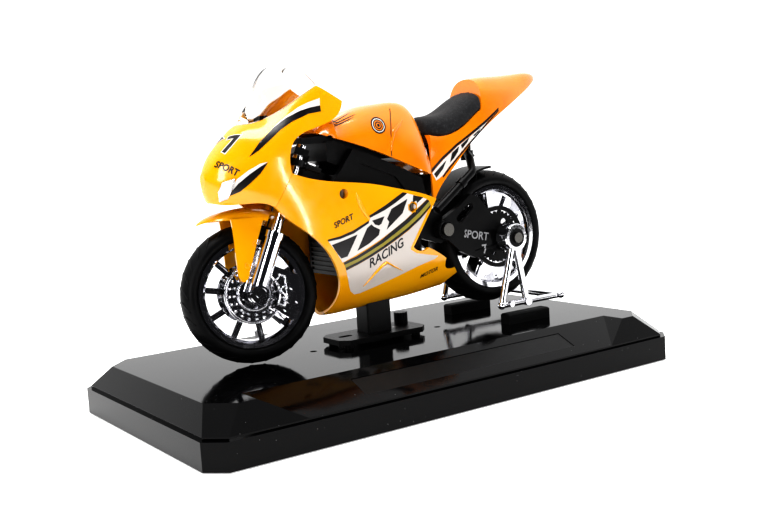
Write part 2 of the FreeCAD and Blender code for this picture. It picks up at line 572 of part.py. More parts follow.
# ---------------------------------------------------------------- bodywork
def section(x, half, closed):
    """A body section: a closed loop, or an arch closed along its foot."""
    right = [V(x, y, BODY_Z + h) for y, h in half]
    if closed:
        left = [V(x, -y, BODY_Z + h) for y, h in half[1:-1]][::-1]
        spline = Part.BSplineCurve()
        spline.interpolate(Points=right + left, PeriodicFlag=True)
        return Part.Wire([spline.toShape()])
    left = [V(x, -y, BODY_Z + h) for y, h in half[:-1]][::-1]
    return Part.Wire([curve(right + left), Part.LineSegment(left[-1], right[0]).toShape()])


def skin(stations, wall, closed, inner_from, inner_to):
    """A hollow body lofted through its stations. Its inside runs from one x to another."""
    outer = loft([section(x, half, closed) for x, half in stations])
    inside = []
    for x, half in stations:
        if inner_from <= x <= inner_to:
            inside.append(section(x, inner_profile(half, wall, closed), closed))
    return outer, loft(inside)


def inner_profile(half, wall, closed):
    """The inside of a section, one wall thickness in."""
    result, last = [], len(half) - 1
    for i, (y, h) in enumerate(half):
        if i == last and closed:
            result.append((0, h + wall))
        elif i == 0 and closed or i == last:
            result.append((0, h - wall))
        elif i == 0:
            result.append((y - wall, h))
        else:
            (y0, h0), (y1, h1) = half[i - 1], half[i + 1]
            run = math.hypot(y1 - y0, h1 - h0)
            ny, nh = (h1 - h0) / run, -(y1 - y0) / run
            if closed:
                ny, nh = -ny, -nh
            result.append((y - ny * wall, h - nh * wall))
    return result


# half sections of the fairing, from the crown down to the keel
FAIRING = [
    (-66.5, [(0, 63.4), (0.9, 63.2), (1.5, 62.4), (1.7, 61.4), (1.5, 60.4), (1.1, 59.8), (0.6, 59.5), (0, 59.4)]),
    (-65.2, [(0, 65.8), (1.9, 65.2), (3.2, 63.6), (3.9, 61.4), (3.9, 59.0), (3.3, 56.6), (2.0, 54.9), (0, 54.2)]),
    (-62.5, [(0, 69.6), (3.2, 68.8), (5.2, 66.4), (6.3, 63.0), (6.6, 59.0), (6.0, 55.4), (3.6, 52.6), (0, 51.6)]),
    (-58.5, [(0, 73.4), (3.9, 72.6), (6.8, 69.4), (8.7, 65.2), (9.3, 60.0), (8.7, 55.0), (5.4, 50.4), (0, 48.6)]),
    (-53.0, [(0, 77.9), (4.3, 77.1), (8.6, 73.0), (11.0, 67.4), (11.7, 60.4), (11.0, 52.6), (7.6, 45.6), (0, 42.2)]),
    (-46.0, [(0, 81.6), (5.4, 79.5), (9.8, 75.0), (12.3, 68.0), (13.0, 59.6), (12.5, 49.4), (9.4, 38.6), (0, 33.4)]),
    (-37.5, [(0, 86.6), (7.0, 84.3), (10.6, 78.4), (12.4, 70.0), (13.5, 59.0), (13.6, 44.0), (10.6, 27.4), (0, 20.0)]),
    (-28.0, [(0, 91.6), (8.8, 89.6), (10.7, 83.0), (12.1, 73.0), (13.8, 58.6), (14.0, 40.6), (11.2, 22.6), (0, 12.4)]),
    (-14.0, [(0, 92.4), (8.4, 88.4), (10.6, 81.6), (12.4, 71.0), (14.1, 57.0), (14.2, 40.4), (11.4, 22.4), (0, 12.4)]),
    (2.0, [(0, 92.4), (8.2, 88.4), (10.4, 81.6), (12.2, 70.6), (13.7, 56.0), (13.8, 40.0), (11.2, 22.8), (0, 13.4)]),
    (16.0, [(0, 92.4), (8.0, 88.4), (10.2, 81.6), (11.8, 69.6), (12.8, 54.6), (12.9, 38.8), (10.6, 23.0), (0, 14.6)]),
    (31.0, [(0, 92.4), (7.6, 88.4), (9.8, 81.6), (11.4, 69.0), (12.3, 53.6), (12.2, 37.6), (9.8, 23.2), (0, 15.6)]),
]
SEAM_TOP, SEAM_LOW = (-41.3, 61.7), (-47.8, 51.4)
SCREW_PLACES = [(-22.9, 53.6), (5.4, 46.6)]
# half sections of the clear screen, from its foot up to its crown
SCREEN = [
    (-52.6, [(1.3, 70), (1.3, 77.6), (0.9, 78.2), (0, 78.4)]),
    (-50.0, [(3.3, 70), (3.3, 78.3), (2.4, 81.4), (0, 82.6)]),
    (-46.0, [(5.1, 70), (5.2, 79.2), (4.2, 86.2), (0, 89.6)]),
    (-42.0, [(6.3, 72), (6.5, 81.6), (5.5, 91.0), (0, 95.2)]),
    (-37.0, [(7.2, 74), (7.4, 84.6), (6.5, 92.6), (0, 96.9)]),
    (-32.0, [(8.0, 76), (8.3, 87.6), (7.3, 93.4), (0, 96.7)]),
    (-26.0, [(8.8, 78), (9.0, 90.2), (7.8, 93.4), (0, 95.6)]),
]
SCREEN_FOOT = [(-52.4, 78.0), (-46.0, 79.3), (-36.6, 84.0), (-27.6, 89.3)]
# half sections of the tank cover, from its foot up to its crown
TANK = [
    (-29.6, [(8.4, 68), (8.6, 71.2), (8.2, 73.2), (5.4, 74.3), (0, 74.6)]),
    (-21.0, [(9.7, 66), (9.9, 72.2), (8.6, 75.2), (4.6, 77.4), (0, 77.9)]),
    (-11.0, [(10.7, 63), (11.0, 70.4), (9.6, 75.4), (5.2, 80.2), (0, 81.0)]),
    (-0.2, [(11.1, 60), (11.5, 68.2), (10.3, 75.2), (5.0, 82.0), (0, 82.9)]),
    (7.2, [(11.0, 57), (11.4, 65.6), (10.0, 74.4), (4.8, 82.5), (0, 83.3)]),
    (11.9, [(10.8, 56), (11.1, 63.4), (9.6, 72.4), (4.6, 80.6), (0, 81.9)]),
    (15.0, [(10.5, 54), (10.6, 61.0), (8.8, 68.8), (4.4, 75.0), (0, 76.6)]),
    (17.4, [(10.2, 52), (10.0, 58.6), (8.0, 65.2), (4.0, 70.2), (0, 71.4)]),
]
TANK_FOOT = [(-28.6, 74.0), (-18.4, 70.8), (-7.3, 66.9), (5.0, 61.9), (16.8, 57.1)]
# half sections of the tail, from its foot up to its crown
TAIL = [
    (13.0, [(10.0, 40), (10.2, 50), (10.1, 60), (9.4, 68), (6, 73), (0, 75)]),
    (24.0, [(10.0, 50), (10.2, 56), (10.1, 64), (9.7, 70), (6, 76), (0, 78)]),
    (34.0, [(9.8, 58), (10.1, 65), (10.1, 70), (9.8, 75), (6.6, 83), (0, 86)]),
    (44.0, [(9.4, 67), (9.8, 72), (9.8, 77), (9.4, 82.6), (6.8, 88.4), (0, 90.6)]),
    (55.0, [(8.2, 74), (8.7, 78), (8.7, 82), (8.0, 86.4), (4.8, 90.4), (0, 91.4)]),
    (65.0, [(6.0, 80), (6.5, 83.4), (6.5, 86), (5.8, 89), (3.4, 91.4), (0, 91.9)]),
    (72.5, [(3.4, 85), (4.0, 87.6), (4.0, 89.2), (3.4, 90.8), (2, 91.9), (0, 92.1)]),
    (75.8, [(1.6, 87.4), (1.9, 88.8), (1.8, 89.8), (1.5, 90.7), (0.8, 91.3), (0, 91.4)]),
]
TAIL_FOOT = [(17.3, 46.4), (20.2, 51.6), (26.6, 58.4), (34.6, 66.0), (43.0, 72.4), (60.0, 81.8), (75.4, 89.8)]
HUMP_FACE = [(41.8, 79.0), (43.8, 99.0)]
SEAT_PAN = [(41.8, 79.0), (38.0, 76.6), (33.0, 73.2), (27.0, 70.8), (17.3, 70.9)]
SEAT = [
    (17.6, [(5.8, 70.0), (6.5, 72.4), (5.6, 75.0), (3.4, 76.2), (0, 76.6)]),
    (21.0, [(7.8, 69.8), (8.4, 72.2), (7.4, 75.6), (4.6, 77.2), (0, 77.6)]),
    (27.0, [(9.1, 69.4), (9.6, 72.0), (8.6, 76.0), (5.6, 77.9), (0, 78.3)]),
    (33.0, [(9.3, 71.6), (9.8, 74.4), (8.8, 78.4), (5.8, 80.4), (0, 80.9)]),
    (38.0, [(9.2, 75.0), (9.7, 77.6), (8.7, 81.4), (5.8, 83.2), (0, 83.7)]),
    (43.5, [(9.0, 78.0), (9.5, 80.6), (8.5, 84.2), (5.6, 85.8), (0, 86.2)]),
]


def bodywork():
    outer, inner = skin(FAIRING, SHELL_WALL, True, -66, 99)
    shell = outer.cut(inner)
    wide = 40
    nose = side_prism([
        [SEAM_LOW], [(-53.7, 53.2), (-60.5, 53.1), (-64.8, 53.9)], [(-72, 55)], [(-72, 79)], [SCREEN_FOOT[0]],
        SCREEN_FOOT[1:], [(-18.8, 84.0)], [(-34.1, 74.7), (-38.9, 72.0), (-41.0, 68.2), SEAM_TOP]], -wide, wide)
    add("nose_cowl", max(shell.common(nose).Solids, key=lambda s: s.Volume))
    gap = FIT_GAP
    side = side_prism([
        [(SEAM_TOP[0] + gap, SEAM_TOP[1])],
        [(-32.1, 58.9), (-22.1, 57.4), (-11, 55.9), (0.4, 53.3), (9.2, 51.2), (16.4, 48.6)],
        [(4.8, 32.8)], [(7.2, 31.2), (8.7, 30.9), (11.8, 31.8)], [(19.5, 27.4), (27.0, 20.8)], [(24.0, 18.2)],
        [(22.6, 8)], [(-28.4, 8)], [(-27.2, 12.9)],
        [(-25.3, 17.2), (-25.1, 23.0), (-27.0, 29.1), (-30.7, 35.7), (-36.0, 41.2), (-43.0, 46.6),
         (SEAM_LOW[0] + gap, SEAM_LOW[1])]], -wide, 0)
    left = shell.common(side).cut(box(-99, 99, -gap / 2, 9, 0, 200))
    window = box(MOUNT_X - POST_LENGTH / 2 - 2 * gap, MOUNT_X + POST_LENGTH / 2 + 2 * gap,
                 -POST_WIDTH / 2 - 2 * gap, 9, 0, BODY_Z + 22)
    left = left.cut(window).cut(rod_y(REAR_AXLE.x, REAR_AXLE.z, -7.2, 7.2, REAR_TYRE_R + 2.4))
    left = max(left.Solids, key=lambda s: s.Volume)
    screws = []
    for x, h in SCREW_PLACES:
        z = BODY_Z + h
        boss = rod_y(x, z, -SPAR_OUTER - gap, -16, BODY_SCREW_HEAD_R + 0.9).common(outer)
        left = left.fuse(boss).cut(rod_y(x, z, -SPAR_OUTER - 2.4, -20, BODY_SCREW_HEAD_R + 0.15))
        left = left.cut(rod_y(x, z, 0, -20, BODY_SCREW_R + RUN_GAP))
        head = rod_y(x, z, -SPAR_OUTER - 2.4, -SPAR_OUTER - 3.2, BODY_SCREW_HEAD_R)
        head = head.cut(box(x - 0.2, x + 0.2, -SPAR_OUTER - 9, -SPAR_OUTER - 2.9, z - 1.1, z + 1.1))
        screws.append(fused([head, rod_y(x, z, -SPAR_OUTER + 1.8, -SPAR_OUTER - 2.5, BODY_SCREW_R)]))
    left = left.removeSplitter()
    add("fairing_left", left)
    add("fairing_right", mirrored(left))
    add("fairing_screws", *[s for screw in screws for s in both_sides(screw)])

    dome, dome_inner = skin(SCREEN, 0.7, False, -51, 99)
    above = side_prism([[(-35.2, 99.5)], [(-60, 99.5)],
                        [(SCREEN_FOOT[0][0], SCREEN_FOOT[0][1] + gap)],
                        [(x, h + gap) for x, h in SCREEN_FOOT[1:]]], -wide, wide)
    add("windscreen", max(dome.cut(dome_inner).common(above).Solids, key=lambda s: s.Volume))

    tank, tank_inner = skin(TANK, SHELL_WALL, False, -99, 16)
    over = side_prism([TANK_FOOT[1:], [(16.8, 99)], [(TANK_FOOT[0][0], 99)], [TANK_FOOT[0]]], -wide, wide)
    add("tank_cover", max(tank.cut(tank_inner).common(over).Solids, key=lambda s: s.Volume))

    tail, tail_inner = skin(TAIL, SHELL_WALL, False, -99, 72)
    (face_x, face_h), (crest_x, crest_h) = HUMP_FACE
    keep = side_prism([TAIL_FOOT[1:], [(82, 93)], [(82, crest_h)], [HUMP_FACE[1]], [SEAT_PAN[0]], SEAT_PAN[1:],
                       [TAIL_FOOT[0]]], -wide, wide)
    bulkhead = side_prism([[HUMP_FACE[1]], [(crest_x + SHELL_WALL, crest_h)], [(face_x + SHELL_WALL, face_h)],
                           [HUMP_FACE[0]]], -wide, wide)
    cowl = fused([tail.cut(tail_inner).common(keep), bulkhead.common(tail)])
    add("tail_cowl", max(cowl.Solids, key=lambda s: s.Volume))
    floor = side_prism([[(46.5, 76.2)], [(55.6, 81.4), (64.2, 85.9)], [(64.2, 86.9)],
                        [(55.6, 82.4), (46.5, 77.2)]], -wide, wide)
    slim = loft([section(x, inner_profile(half, SHELL_WALL + 2 * gap, False), False) for x, half in TAIL[2:-2]])
    add("under_tail", slim.common(floor))

    pad = loft([section(x, half, False) for x, half in SEAT])
    lean_x = (crest_x - face_x) / (crest_h - face_h)
    rest = side_prism([[(x, h + gap) for x, h in SEAT_PAN[1:]], [(17.3, crest_h)], [(crest_x - gap, crest_h)],
                       [(face_x - gap + lean_x * gap, face_h + gap)]], -wide, wide)
    add("seat_pad", pad.common(rest))
    airbox = side_prism([[(-20.2, 63.0)], [(-24.4, 64.6)], [(-24.4, 70.6)], [(-33.2, 70.6)], [(-33.2, 72.6)],
                         [(-26.2, 73.0)], [(-12, 75.6)], [(2, 76.6)], [(11, 73)], [(11, 62)], [(2, 64)]],
                        -AIRBOX_HALF_WIDTH, AIRBOX_HALF_WIDTH)
    mouth = box(-24.4, -20.6, -AIRBOX_MOUTH, AIRBOX_MOUTH, BODY_Z + 64.6, BODY_Z + 71.0)
    airbox = fused([airbox, mouth])
    add("airbox", airbox)


# ---------------------------------------------------------------- frame, engine and what hangs on them
SPAR_INNER, SPAR_OUTER = 6.6, 9.0
AIRBOX_HALF_WIDTH = 6.3
AIRBOX_MOUTH = 7.6
RAIL_INNER, RAIL_OUTER = 4.8, 6.3
ENGINE_HALF_WIDTH = SPAR_INNER - FIT_GAP
ENGINE_FLOOR = 16.0
ENGINE_BOLTS = [(-12.0, 50.0), (9.0, 40.0)]
STRUT_X = 41.8
PIPE_R = 1.5
PIPE_RUN = [V(17.9, -10.9, BODY_Z + 44.4), V(24.0, -10.7, BODY_Z + 48.6), V(35.8, -10.0, BODY_Z + 56.8),
            V(38.6, -5.4, BODY_Z + 61.4), V(40.6, -1.8, BODY_Z + 62.9)]


def chassis():
    low, high = BOTTOM_CLAMP_AT + CLAMP_THICK + MOVE_GAP, TOP_CLAMP_AT - MOVE_GAP
    head = rod(V(FORK_OFFSET, 0, low), V(FORK_OFFSET, 0, high), STEM_R + 1.6)
    neck = box(FORK_OFFSET, FORK_OFFSET + 13.5, -3.6, 3.6, low + 0.6, high - 0.6)
    yoke = box(FORK_OFFSET + 11.0, FORK_OFFSET + 15.0, -SPAR_OUTER, SPAR_OUTER, low + 0.6, high - 0.6)
    bore = rod(V(FORK_OFFSET, 0, low - 5), V(FORK_OFFSET, 0, high + 5), STEM_R + RUN_GAP)
    neck = fused([head, neck, yoke]).cut(bore)
    neck.rotate(V(0, 0, 0), Y, FORK_RAKE)
    neck.translate(FRONT_AXLE)
    spar = side_prism([[(-25, 56)], [(-20, 61.5)], [(-15, 68)], [(-7, 65.3)], [(5, 60.3)], [(13.4, 56.2)], [(15.8, 47.2)],
                       [(18, 43.4)], [(23.6, 41)], [(24.2, 33.8)], [(20.4, 32)], [(14, 34)], [(4, 38)], [(-10, 46)],
                       [(-25, 51)]], -SPAR_OUTER, -SPAR_INNER)
    pocket = side_prism([[(-12, 63)], [(2, 57.5)], [(8, 50)], [(-4, 50)], [(-14, 57)]],
                        -SPAR_OUTER - 1, -SPAR_OUTER + 0.7)
    spar = spar.cut(pocket)
    bridge = box(14.5, 18.5, -SPAR_OUTER + 0.5, SPAR_OUTER - 0.5, BODY_Z + 34.5, BODY_Z + 43)
    frame = fused([neck, bridge] + both_sides(spar))
    holes = [rod_y(PIVOT.x, PIVOT.z, -30, 30, PIVOT_R + RUN_GAP)]
    holes += [rod_y(x, BODY_Z + h, -30, 30, 1.0 + RUN_GAP) for x, h in ENGINE_BOLTS]
    holes += [rod_y(x, BODY_Z + h, -30, 30, BODY_SCREW_R + RUN_GAP) for x, h in SCREW_PLACES]
    add("main_frame", frame.cut(Part.makeCompound(holes)))

    w = ENGINE_HALF_WIDTH
    block = box(-18, 13.5, -w, w, BODY_Z + 26, BODY_Z + 44)
    sump = loft([Part.makePolygon([V(x, y, z) for x, y in ((-15, -a), (8, -a), (8, a), (-15, a), (-15, -a))])
                 for a, z in ((3.4, BODY_Z + ENGINE_FLOOR), (w, BODY_Z + 26))])
    tower = side_prism([[(-16.8, 56.6)], [(-3, 55)], [(-4, 43)], [(-17.5, 43)]], -w, w)
    fins = [side_prism([[(-22, 45.5 + 2.6 * i)], [(-2, 43.5 + 2.6 * i)], [(-2, 44.6 + 2.6 * i)],
                        [(-22, 46.6 + 2.6 * i)]], -w, w) for i in range(5)]
    casing = fused([block, sump, tower])
    grooves = [f.cut(box(-99, 99, -w + 0.6, w - 0.6, 0, 200)) for f in fins]
    casing = casing.cut(Part.makeCompound(grooves))
    casing = casing.cut(Part.makeCylinder(MOUNT_SCREW_R + RUN_GAP, 6.5, V(MOUNT_X, 0, BODY_Z + ENGINE_FLOOR - 1)))
    casing = casing.cut(Part.makeCompound([rod_y(x, BODY_Z + h, -30, 30, 1.0 + RUN_GAP) for x, h in ENGINE_BOLTS]))
    add("engine_casing", max(casing.Solids, key=lambda s: s.Volume))
    covers = []
    for x, h, r, out in ((-8.5, 31.5, 6.4, 3.6), (6.5, 31.0, 4.6, 2.8)):
        cover = rod_y(x, BODY_Z + h, -w, -w - out, r)
        rim = [e for e in cover.Edges if abs(e.BoundBox.YMax + w + out) < 1e-3]
        cover = cover.makeChamfer(0.7, rim)
        covers.append(cover)
    add("engine_covers", *[s for c in covers for s in both_sides(c)])
    bolts = []
    for x, h in ENGINE_BOLTS:
        z = BODY_Z + h
        bolts.append(fused([rod_y(x, z, -SPAR_OUTER - 0.9, SPAR_OUTER + 0.9, 1.0)]
                           + both_sides(rod_y(x, z, -SPAR_OUTER - 0.9, -SPAR_OUTER, 1.7))))
    add("engine_bolts", *bolts)
    core = box(-24.2, -22.2, -8.6, 8.6, BODY_Z + 26, BODY_Z + 50)
    ribs = [box(-24.2, -23.7, -7.4, 7.4, BODY_Z + 27.2 + 1.6 * i, BODY_Z + 28.2 + 1.6 * i) for i in range(14)]
    tabs = box(-23.4, -16.4, -5, 5, BODY_Z + 46, BODY_Z + 48)
    radiator = fused([core.cut(Part.makeCompound(ribs)), tabs])
    casing_room = PARTS["engine_casing"]
    add("radiator", radiator.cut(casing_room).Solids[0])
    heads = both_sides(rod_y(PIVOT.x, PIVOT.z, -14.0, -12.9, 2.3))
    add("pivot_bolt", fused([rod_y(PIVOT.x, PIVOT.z, -13.2, 13.2, PIVOT_R)] + heads))

    rail = side_prism([[(10, 47)], [(18, 49)], [(26, 58)], [(36, 67.8)], [(46, 76.0)], [(46, 79.4)], [(40, 76)],
                       [(30, 69)], [(17.8, 57.6)], [(16.4, 56.2)], [(10, 53)]], -RAIL_OUTER, -RAIL_INNER)
    cross = [box(12, 16, -RAIL_INNER, RAIL_INNER, BODY_Z + 50, BODY_Z + 55),
             box(38.4, 43, -RAIL_INNER, RAIL_INNER, BODY_Z + 71.6, BODY_Z + 75)]
    tie = box(10.5, 13.2, -SPAR_INNER + 0.05, SPAR_INNER - 0.05, BODY_Z + 50, BODY_Z + 54)
    add("tail_frame", fused(both_sides(rail) + cross + [tie]))
    z = BODY_Z + 60.6
    strut = fused([Part.makeCylinder(1.6, 12.0, V(STRUT_X, 0, z)), Part.makeCylinder(2.4, 3.6, V(STRUT_X, 0, z)),
                   Part.makeCylinder(2.9, 0.8, V(STRUT_X, 0, z + 1.2))])
    add("tail_strut", strut.cut(PARTS["tail_frame"]).Solids[0])
    pipe = tube_path(PIPE_RUN, PIPE_R, 2.6)
    band = rod(V(29.2, -10.39, BODY_Z + 52.2), V(31.0, -10.28, BODY_Z + 53.46), 1.9)
    pipe = fused([pipe, band]).cut(PARTS["tail_strut"])
    add("exhaust_pipe", max(pipe.Solids, key=lambda s: s.Volume))
    panel = box(-43.0, -36.6, -5.6, 5.6, BODY_Z + 73.2, BODY_Z + 76.4)
    panel = panel.makeFillet(1.2, [e for e in panel.Edges if abs(e.Vertexes[0].Z - e.Vertexes[1].Z) > 2])
    stalk = box(-45.6, -42.6, -2.0, 2.0, BODY_Z + 74.0, BODY_Z + 80.6)
    room = skin(FAIRING, SHELL_WALL + 0.1, True, -66, 99)[1]
    add("instrument_panel", fused([panel, stalk]).common(room).Solids[0])


# ---------------------------------------------------------------- rear end
def rear_wheel():
    half = REAR_TYRE_WIDTH / 2
    add("rear_tyre", placed(tyre_solid(REAR_TYRE_R, REAR_TYRE_WIDTH, REAR_RIM_R), REAR_AXLE))
    rim = placed(rim_solid(REAR_RIM_R, REAR_TYRE_WIDTH), REAR_AXLE)
    add("rear_rim", rim)
    hub_end = half * BEAD_SHARE + FIT_GAP
    sprocket = fused([sprocket_solid(-half - 1.3, -half - 0.5),
                      ring_y(0, 0, -half - 0.5, -hub_end, HUB_R - 0.6, AXLE_R + RUN_GAP)])
    add("rear_sprocket", placed(sprocket, REAR_AXLE))
    disc = fused([disc_solid(half + 0.5, half + 0.5 + DISC_THICK, DISC_R * 0.78),
                  ring_y(0, 0, hub_end, half + 0.5, HUB_R - 0.6, AXLE_R + RUN_GAP)])
    add("rear_disc", placed(disc, REAR_AXLE))


ARM_OUTLINE = [(17.6, 39.6), (21.0, 41.6), (27.0, 44.6), (33.0, 48.8), (36.6, 47.6), (41.0, 42.4), (46.0, 37.0),
               (51.6, 35.2), (54.2, 31.5), (51.6, 27.8), (46.0, 27.0), (41.0, 26.0), (34.0, 25.4), (27.0, 28.6),
               (22.0, 33.0), (17.6, 34.8)]
HUGGER_GAP = 1.0
HUGGER_THICK = 0.8
CHAIN_FRONT = (27.6, 37.0)


def rear_end():
    y_in, y_out = -ARM_INNER, -ARM_INNER - ARM_THICK
    arm = side_prism([[p] for p in ARM_OUTLINE], y_out, y_in)
    arm = fused([arm, rod_y(PIVOT.x, PIVOT.z, y_in, y_out - 0.8, 3.5),
                 rod_y(REAR_AXLE.x, REAR_AXLE.z, y_in, y_out, 4.6)])
    slot = fused([rod_y(27.6, BODY_Z + 40.4, -20, 0, 1.5), rod_y(32.2, BODY_Z + 44.2, -20, 0, 1.5),
                  side_prism([[(26.6, 41.5)], [(31.2, 45.3)], [(33.2, 43.1)], [(28.6, 39.3)]], -20, 0)])
    pocket = side_prism([[(30, 36.5)], [(44, 34.5)], [(44, 29.2)], [(34, 27.8)], [(28.6, 31.0)]], -20, y_out + 0.6)
    arm = arm.cut(slot).cut(pocket)
    arm = arm.cut(rod_y(PIVOT.x, PIVOT.z, -30, 0, PIVOT_R + RUN_GAP))
    arm = arm.cut(rod_y(REAR_AXLE.x, REAR_AXLE.z, -30, 0, AXLE_R + RUN_GAP))
    spool = ring_y(REAR_AXLE.x, REAR_AXLE.z, y_out, -STAND_RING_END - 0.2, SPOOL_R, AXLE_R + RUN_GAP)
    add("rear_spools", *both_sides(spool))
    end = STAND_RING_END + 1.0
    nuts = both_sides(rod_y(REAR_AXLE.x, REAR_AXLE.z, -end - 0.1, -STAND_RING_END - 0.2, 1.9))
    add("rear_axle", fused([rod_y(REAR_AXLE.x, REAR_AXLE.z, -end, end, AXLE_R)] + nuts))

    # a moulded chain loop round the sprocket, held by a guide on the left arm
    fx, fz = CHAIN_FRONT[0], BODY_Z + CHAIN_FRONT[1]
    half = REAR_TYRE_WIDTH / 2
    c_out, c_in = -half - 1.5, -half - 0.4
    outer = belt(REAR_AXLE.x, REAR_AXLE.z, SPROCKET_R + 1.9, fx, fz, 3.4, c_out, c_in)
    inner = belt(REAR_AXLE.x, REAR_AXLE.z, SPROCKET_R + 0.35, fx, fz, 1.85, c_out - 1, c_in + 1)
    add("drive_chain", outer.cut(inner))
    guide = rod_y(fx, fz, y_in, c_in, 1.85 - RUN_GAP)
    arm_left = fused([arm, guide])
    add("swing_arm_left", arm_left)
    add("swing_arm_right", mirrored(arm))

    inner_r = REAR_TYRE_R + HUGGER_GAP
    band = ring_y(REAR_AXLE.x, REAR_AXLE.z, -half - 0.4, half + 0.4, inner_r + HUGGER_THICK, inner_r)
    rays = [V(40 * math.cos(math.radians(t)), -30, 40 * math.sin(math.radians(t))) for t in (93, 118, 144)]
    hub = V(0, -30, 0)
    wedge = Part.Face(Part.makePolygon([hub] + rays + [hub])).extrude(V(0, 60, 0))
    hugger = band.common(placed(wedge, REAR_AXLE))
    turn = math.radians(136)
    hx, hz = REAR_AXLE.x + (inner_r + 0.3) * math.cos(turn), REAR_AXLE.z + (inner_r + 0.3) * math.sin(turn)
    lug = side_prism([[(hx - 1.0, hz - BODY_Z + 1.6)], [(hx + 3.2, hz - BODY_Z + 3.2)], [(34.6, 44.4)], [(29.8, 43.2)]],
                     y_in + 0.05, -half - 0.3)
    lug = lug.cut(rod_y(REAR_AXLE.x, REAR_AXLE.z, -30, 30, inner_r)).cut(PARTS["drive_chain"])
    lug = lug.cut(rod(PIPE_RUN[1], PIPE_RUN[2], PIPE_R + 1.2))
    add("rear_hugger", max(fused([hugger] + both_sides(lug)).Solids, key=lambda s: s.Volume))
    block = side_prism([[(37.0, 36.0)], [(41.4, 37.6)], [(44.2, 33.4)], [(38.4, 31.0)]], half + 0.5 + DISC_THICK + 0.4,
                       ARM_INNER - 0.05)
    add("rear_caliper", block)


def belt(x0, z0, r0, x1, z1, r1, y0, y1):
    """A plate whose outline is a belt stretched round two circles."""
    span = math.hypot(x1 - x0, z1 - z0)
    along = math.atan2(z1 - z0, x1 - x0)
    lean_angle = math.acos((r0 - r1) / span)
    corners = []
    for (x, z, r), signs in (((x0, z0, r0), (1, -1)), ((x1, z1, r1), (-1, 1))):
        for sign in signs:
            t = along + sign * lean_angle
            corners.append(V(x + r * math.cos(t), y0, z + r * math.sin(t)))
    quad = Part.Face(Part.makePolygon(corners + corners[:1])).extrude(V(0, y1 - y0, 0))
    return fused([quad, rod_y(x0, z0, y0, y1, r0), rod_y(x1, z1, y0, y1, r1)])


def stand():
    """The rear paddock stand: a ring on each spool, two legs, a foot bar each side and a cross bar."""
    x, z = REAR_AXLE.x, REAR_AXLE.z
    y = -STAND_HALF_WIDTH
    bar_z = DECK_TOP + 7.2
    front, back = x - 8.0, x + 22.0
    ring = ring_y(x, z, -ARM_INNER - ARM_THICK - MOVE_GAP, -STAND_RING_END, SPOOL_R + 1.8, SPOOL_R + RUN_GAP)
    round_edges = [e for e in ring.Edges if e.Curve.TypeId == "Part::GeomCircle"]
    ring = ring.makeChamfer(0.4, [e for e in round_edges if e.Curve.Radius > SPOOL_R + 1])
    legs = [rod(V(x - 2.2, y, z - 3.8), V(front, y, bar_z), 1.25),
            rod(V(x + 0.4, y, z - 4.2), V(x + 4.2, y, bar_z), 1.25)]
    foot = rod(V(front, y, bar_z), V(back, y, bar_z), STAND_TUBE_R)
    knuckle = [Part.makeSphere(1.5, V(front, y, bar_z)), rod_y(x + 4.2, bar_z, y - 1.6, y + 1.6, 1.5),
               rod_y(front + 3.4, bar_z + 0.2, y - 2.2, y + 1.0, 1.0)]
    side = fused([ring] + legs + [foot] + knuckle + [Part.makeSphere(STAND_TUBE_R + 0.35, V(back, y, bar_z))])
    side = side.cut(rod_y(x, z, -30, 0, SPOOL_R + RUN_GAP))
    socket = rod_y(back - 2.6, bar_z, -30, 0, 0.8)
    side = side.cut(socket)
    add("stand_left", side)
    add("stand_right", mirrored(side))
    grip = fused([rod_y(back - 2.6, bar_z, -y - STAND_TUBE_R - 0.1, y + STAND_TUBE_R + 0.1, STAND_TUBE_R),
                  rod_y(back - 2.6, bar_z, y - 0.4, -y + 0.4, 0.72)])
    add("stand_cross_bar", grip)
    pads = []
    for sy in (-1, 1):
        pad = box(x - 6.6, x + 13.4, sy * STAND_HALF_WIDTH - 2.4, sy * STAND_HALF_WIDTH + 2.4, DECK_TOP,
                  DECK_TOP + 3.9)
        pads.append(pad.makeChamfer(0.5, [e for e in pad.Edges if min(v.Z for v in e.Vertexes) > DECK_TOP + 3]))
    add("stand_pads", *pads)


plinth()
mount()
fork()
front_fender()
handlebars()
front_wheel()
bodywork()
chassis()
rear_wheel()
rear_end()
stand()

os.makedirs("parts", exist_ok=True)
for name, shape in PARTS.items():
    shape.exportStep(f"parts/{name}.step")
    print(f"{name:20s} {len(shape.Solids)} solids, {shape.Volume:9.1f} mm3")
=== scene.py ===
"""Looks of the racing motorcycle display model on its plinth.

Lengths in this file are millimetres unless a name says otherwise, and each mesh is turned to metres as it is made.
"""
import json
import math

import bmesh
import bpy
from mathutils import Matrix, Vector
from mathutils.bvhtree import BVHTree
from mathutils.geometry import tessellate_polygon


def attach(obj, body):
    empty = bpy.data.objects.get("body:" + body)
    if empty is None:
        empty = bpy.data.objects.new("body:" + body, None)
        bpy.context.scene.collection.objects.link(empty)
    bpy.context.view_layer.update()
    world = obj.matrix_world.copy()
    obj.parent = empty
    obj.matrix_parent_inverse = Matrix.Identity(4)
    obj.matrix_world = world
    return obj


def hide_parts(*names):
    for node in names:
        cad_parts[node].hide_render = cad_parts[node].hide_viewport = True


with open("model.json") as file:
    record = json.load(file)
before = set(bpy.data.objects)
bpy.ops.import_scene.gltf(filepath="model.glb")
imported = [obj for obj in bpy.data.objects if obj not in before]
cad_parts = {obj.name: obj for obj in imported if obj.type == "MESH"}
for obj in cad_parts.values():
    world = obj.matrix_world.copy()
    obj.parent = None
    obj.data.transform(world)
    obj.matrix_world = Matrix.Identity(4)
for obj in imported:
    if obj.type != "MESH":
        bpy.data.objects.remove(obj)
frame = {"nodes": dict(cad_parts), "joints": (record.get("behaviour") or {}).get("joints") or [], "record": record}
NODES = frame["nodes"]
JOINTS = {joint["name"]: joint for joint in frame["joints"]}
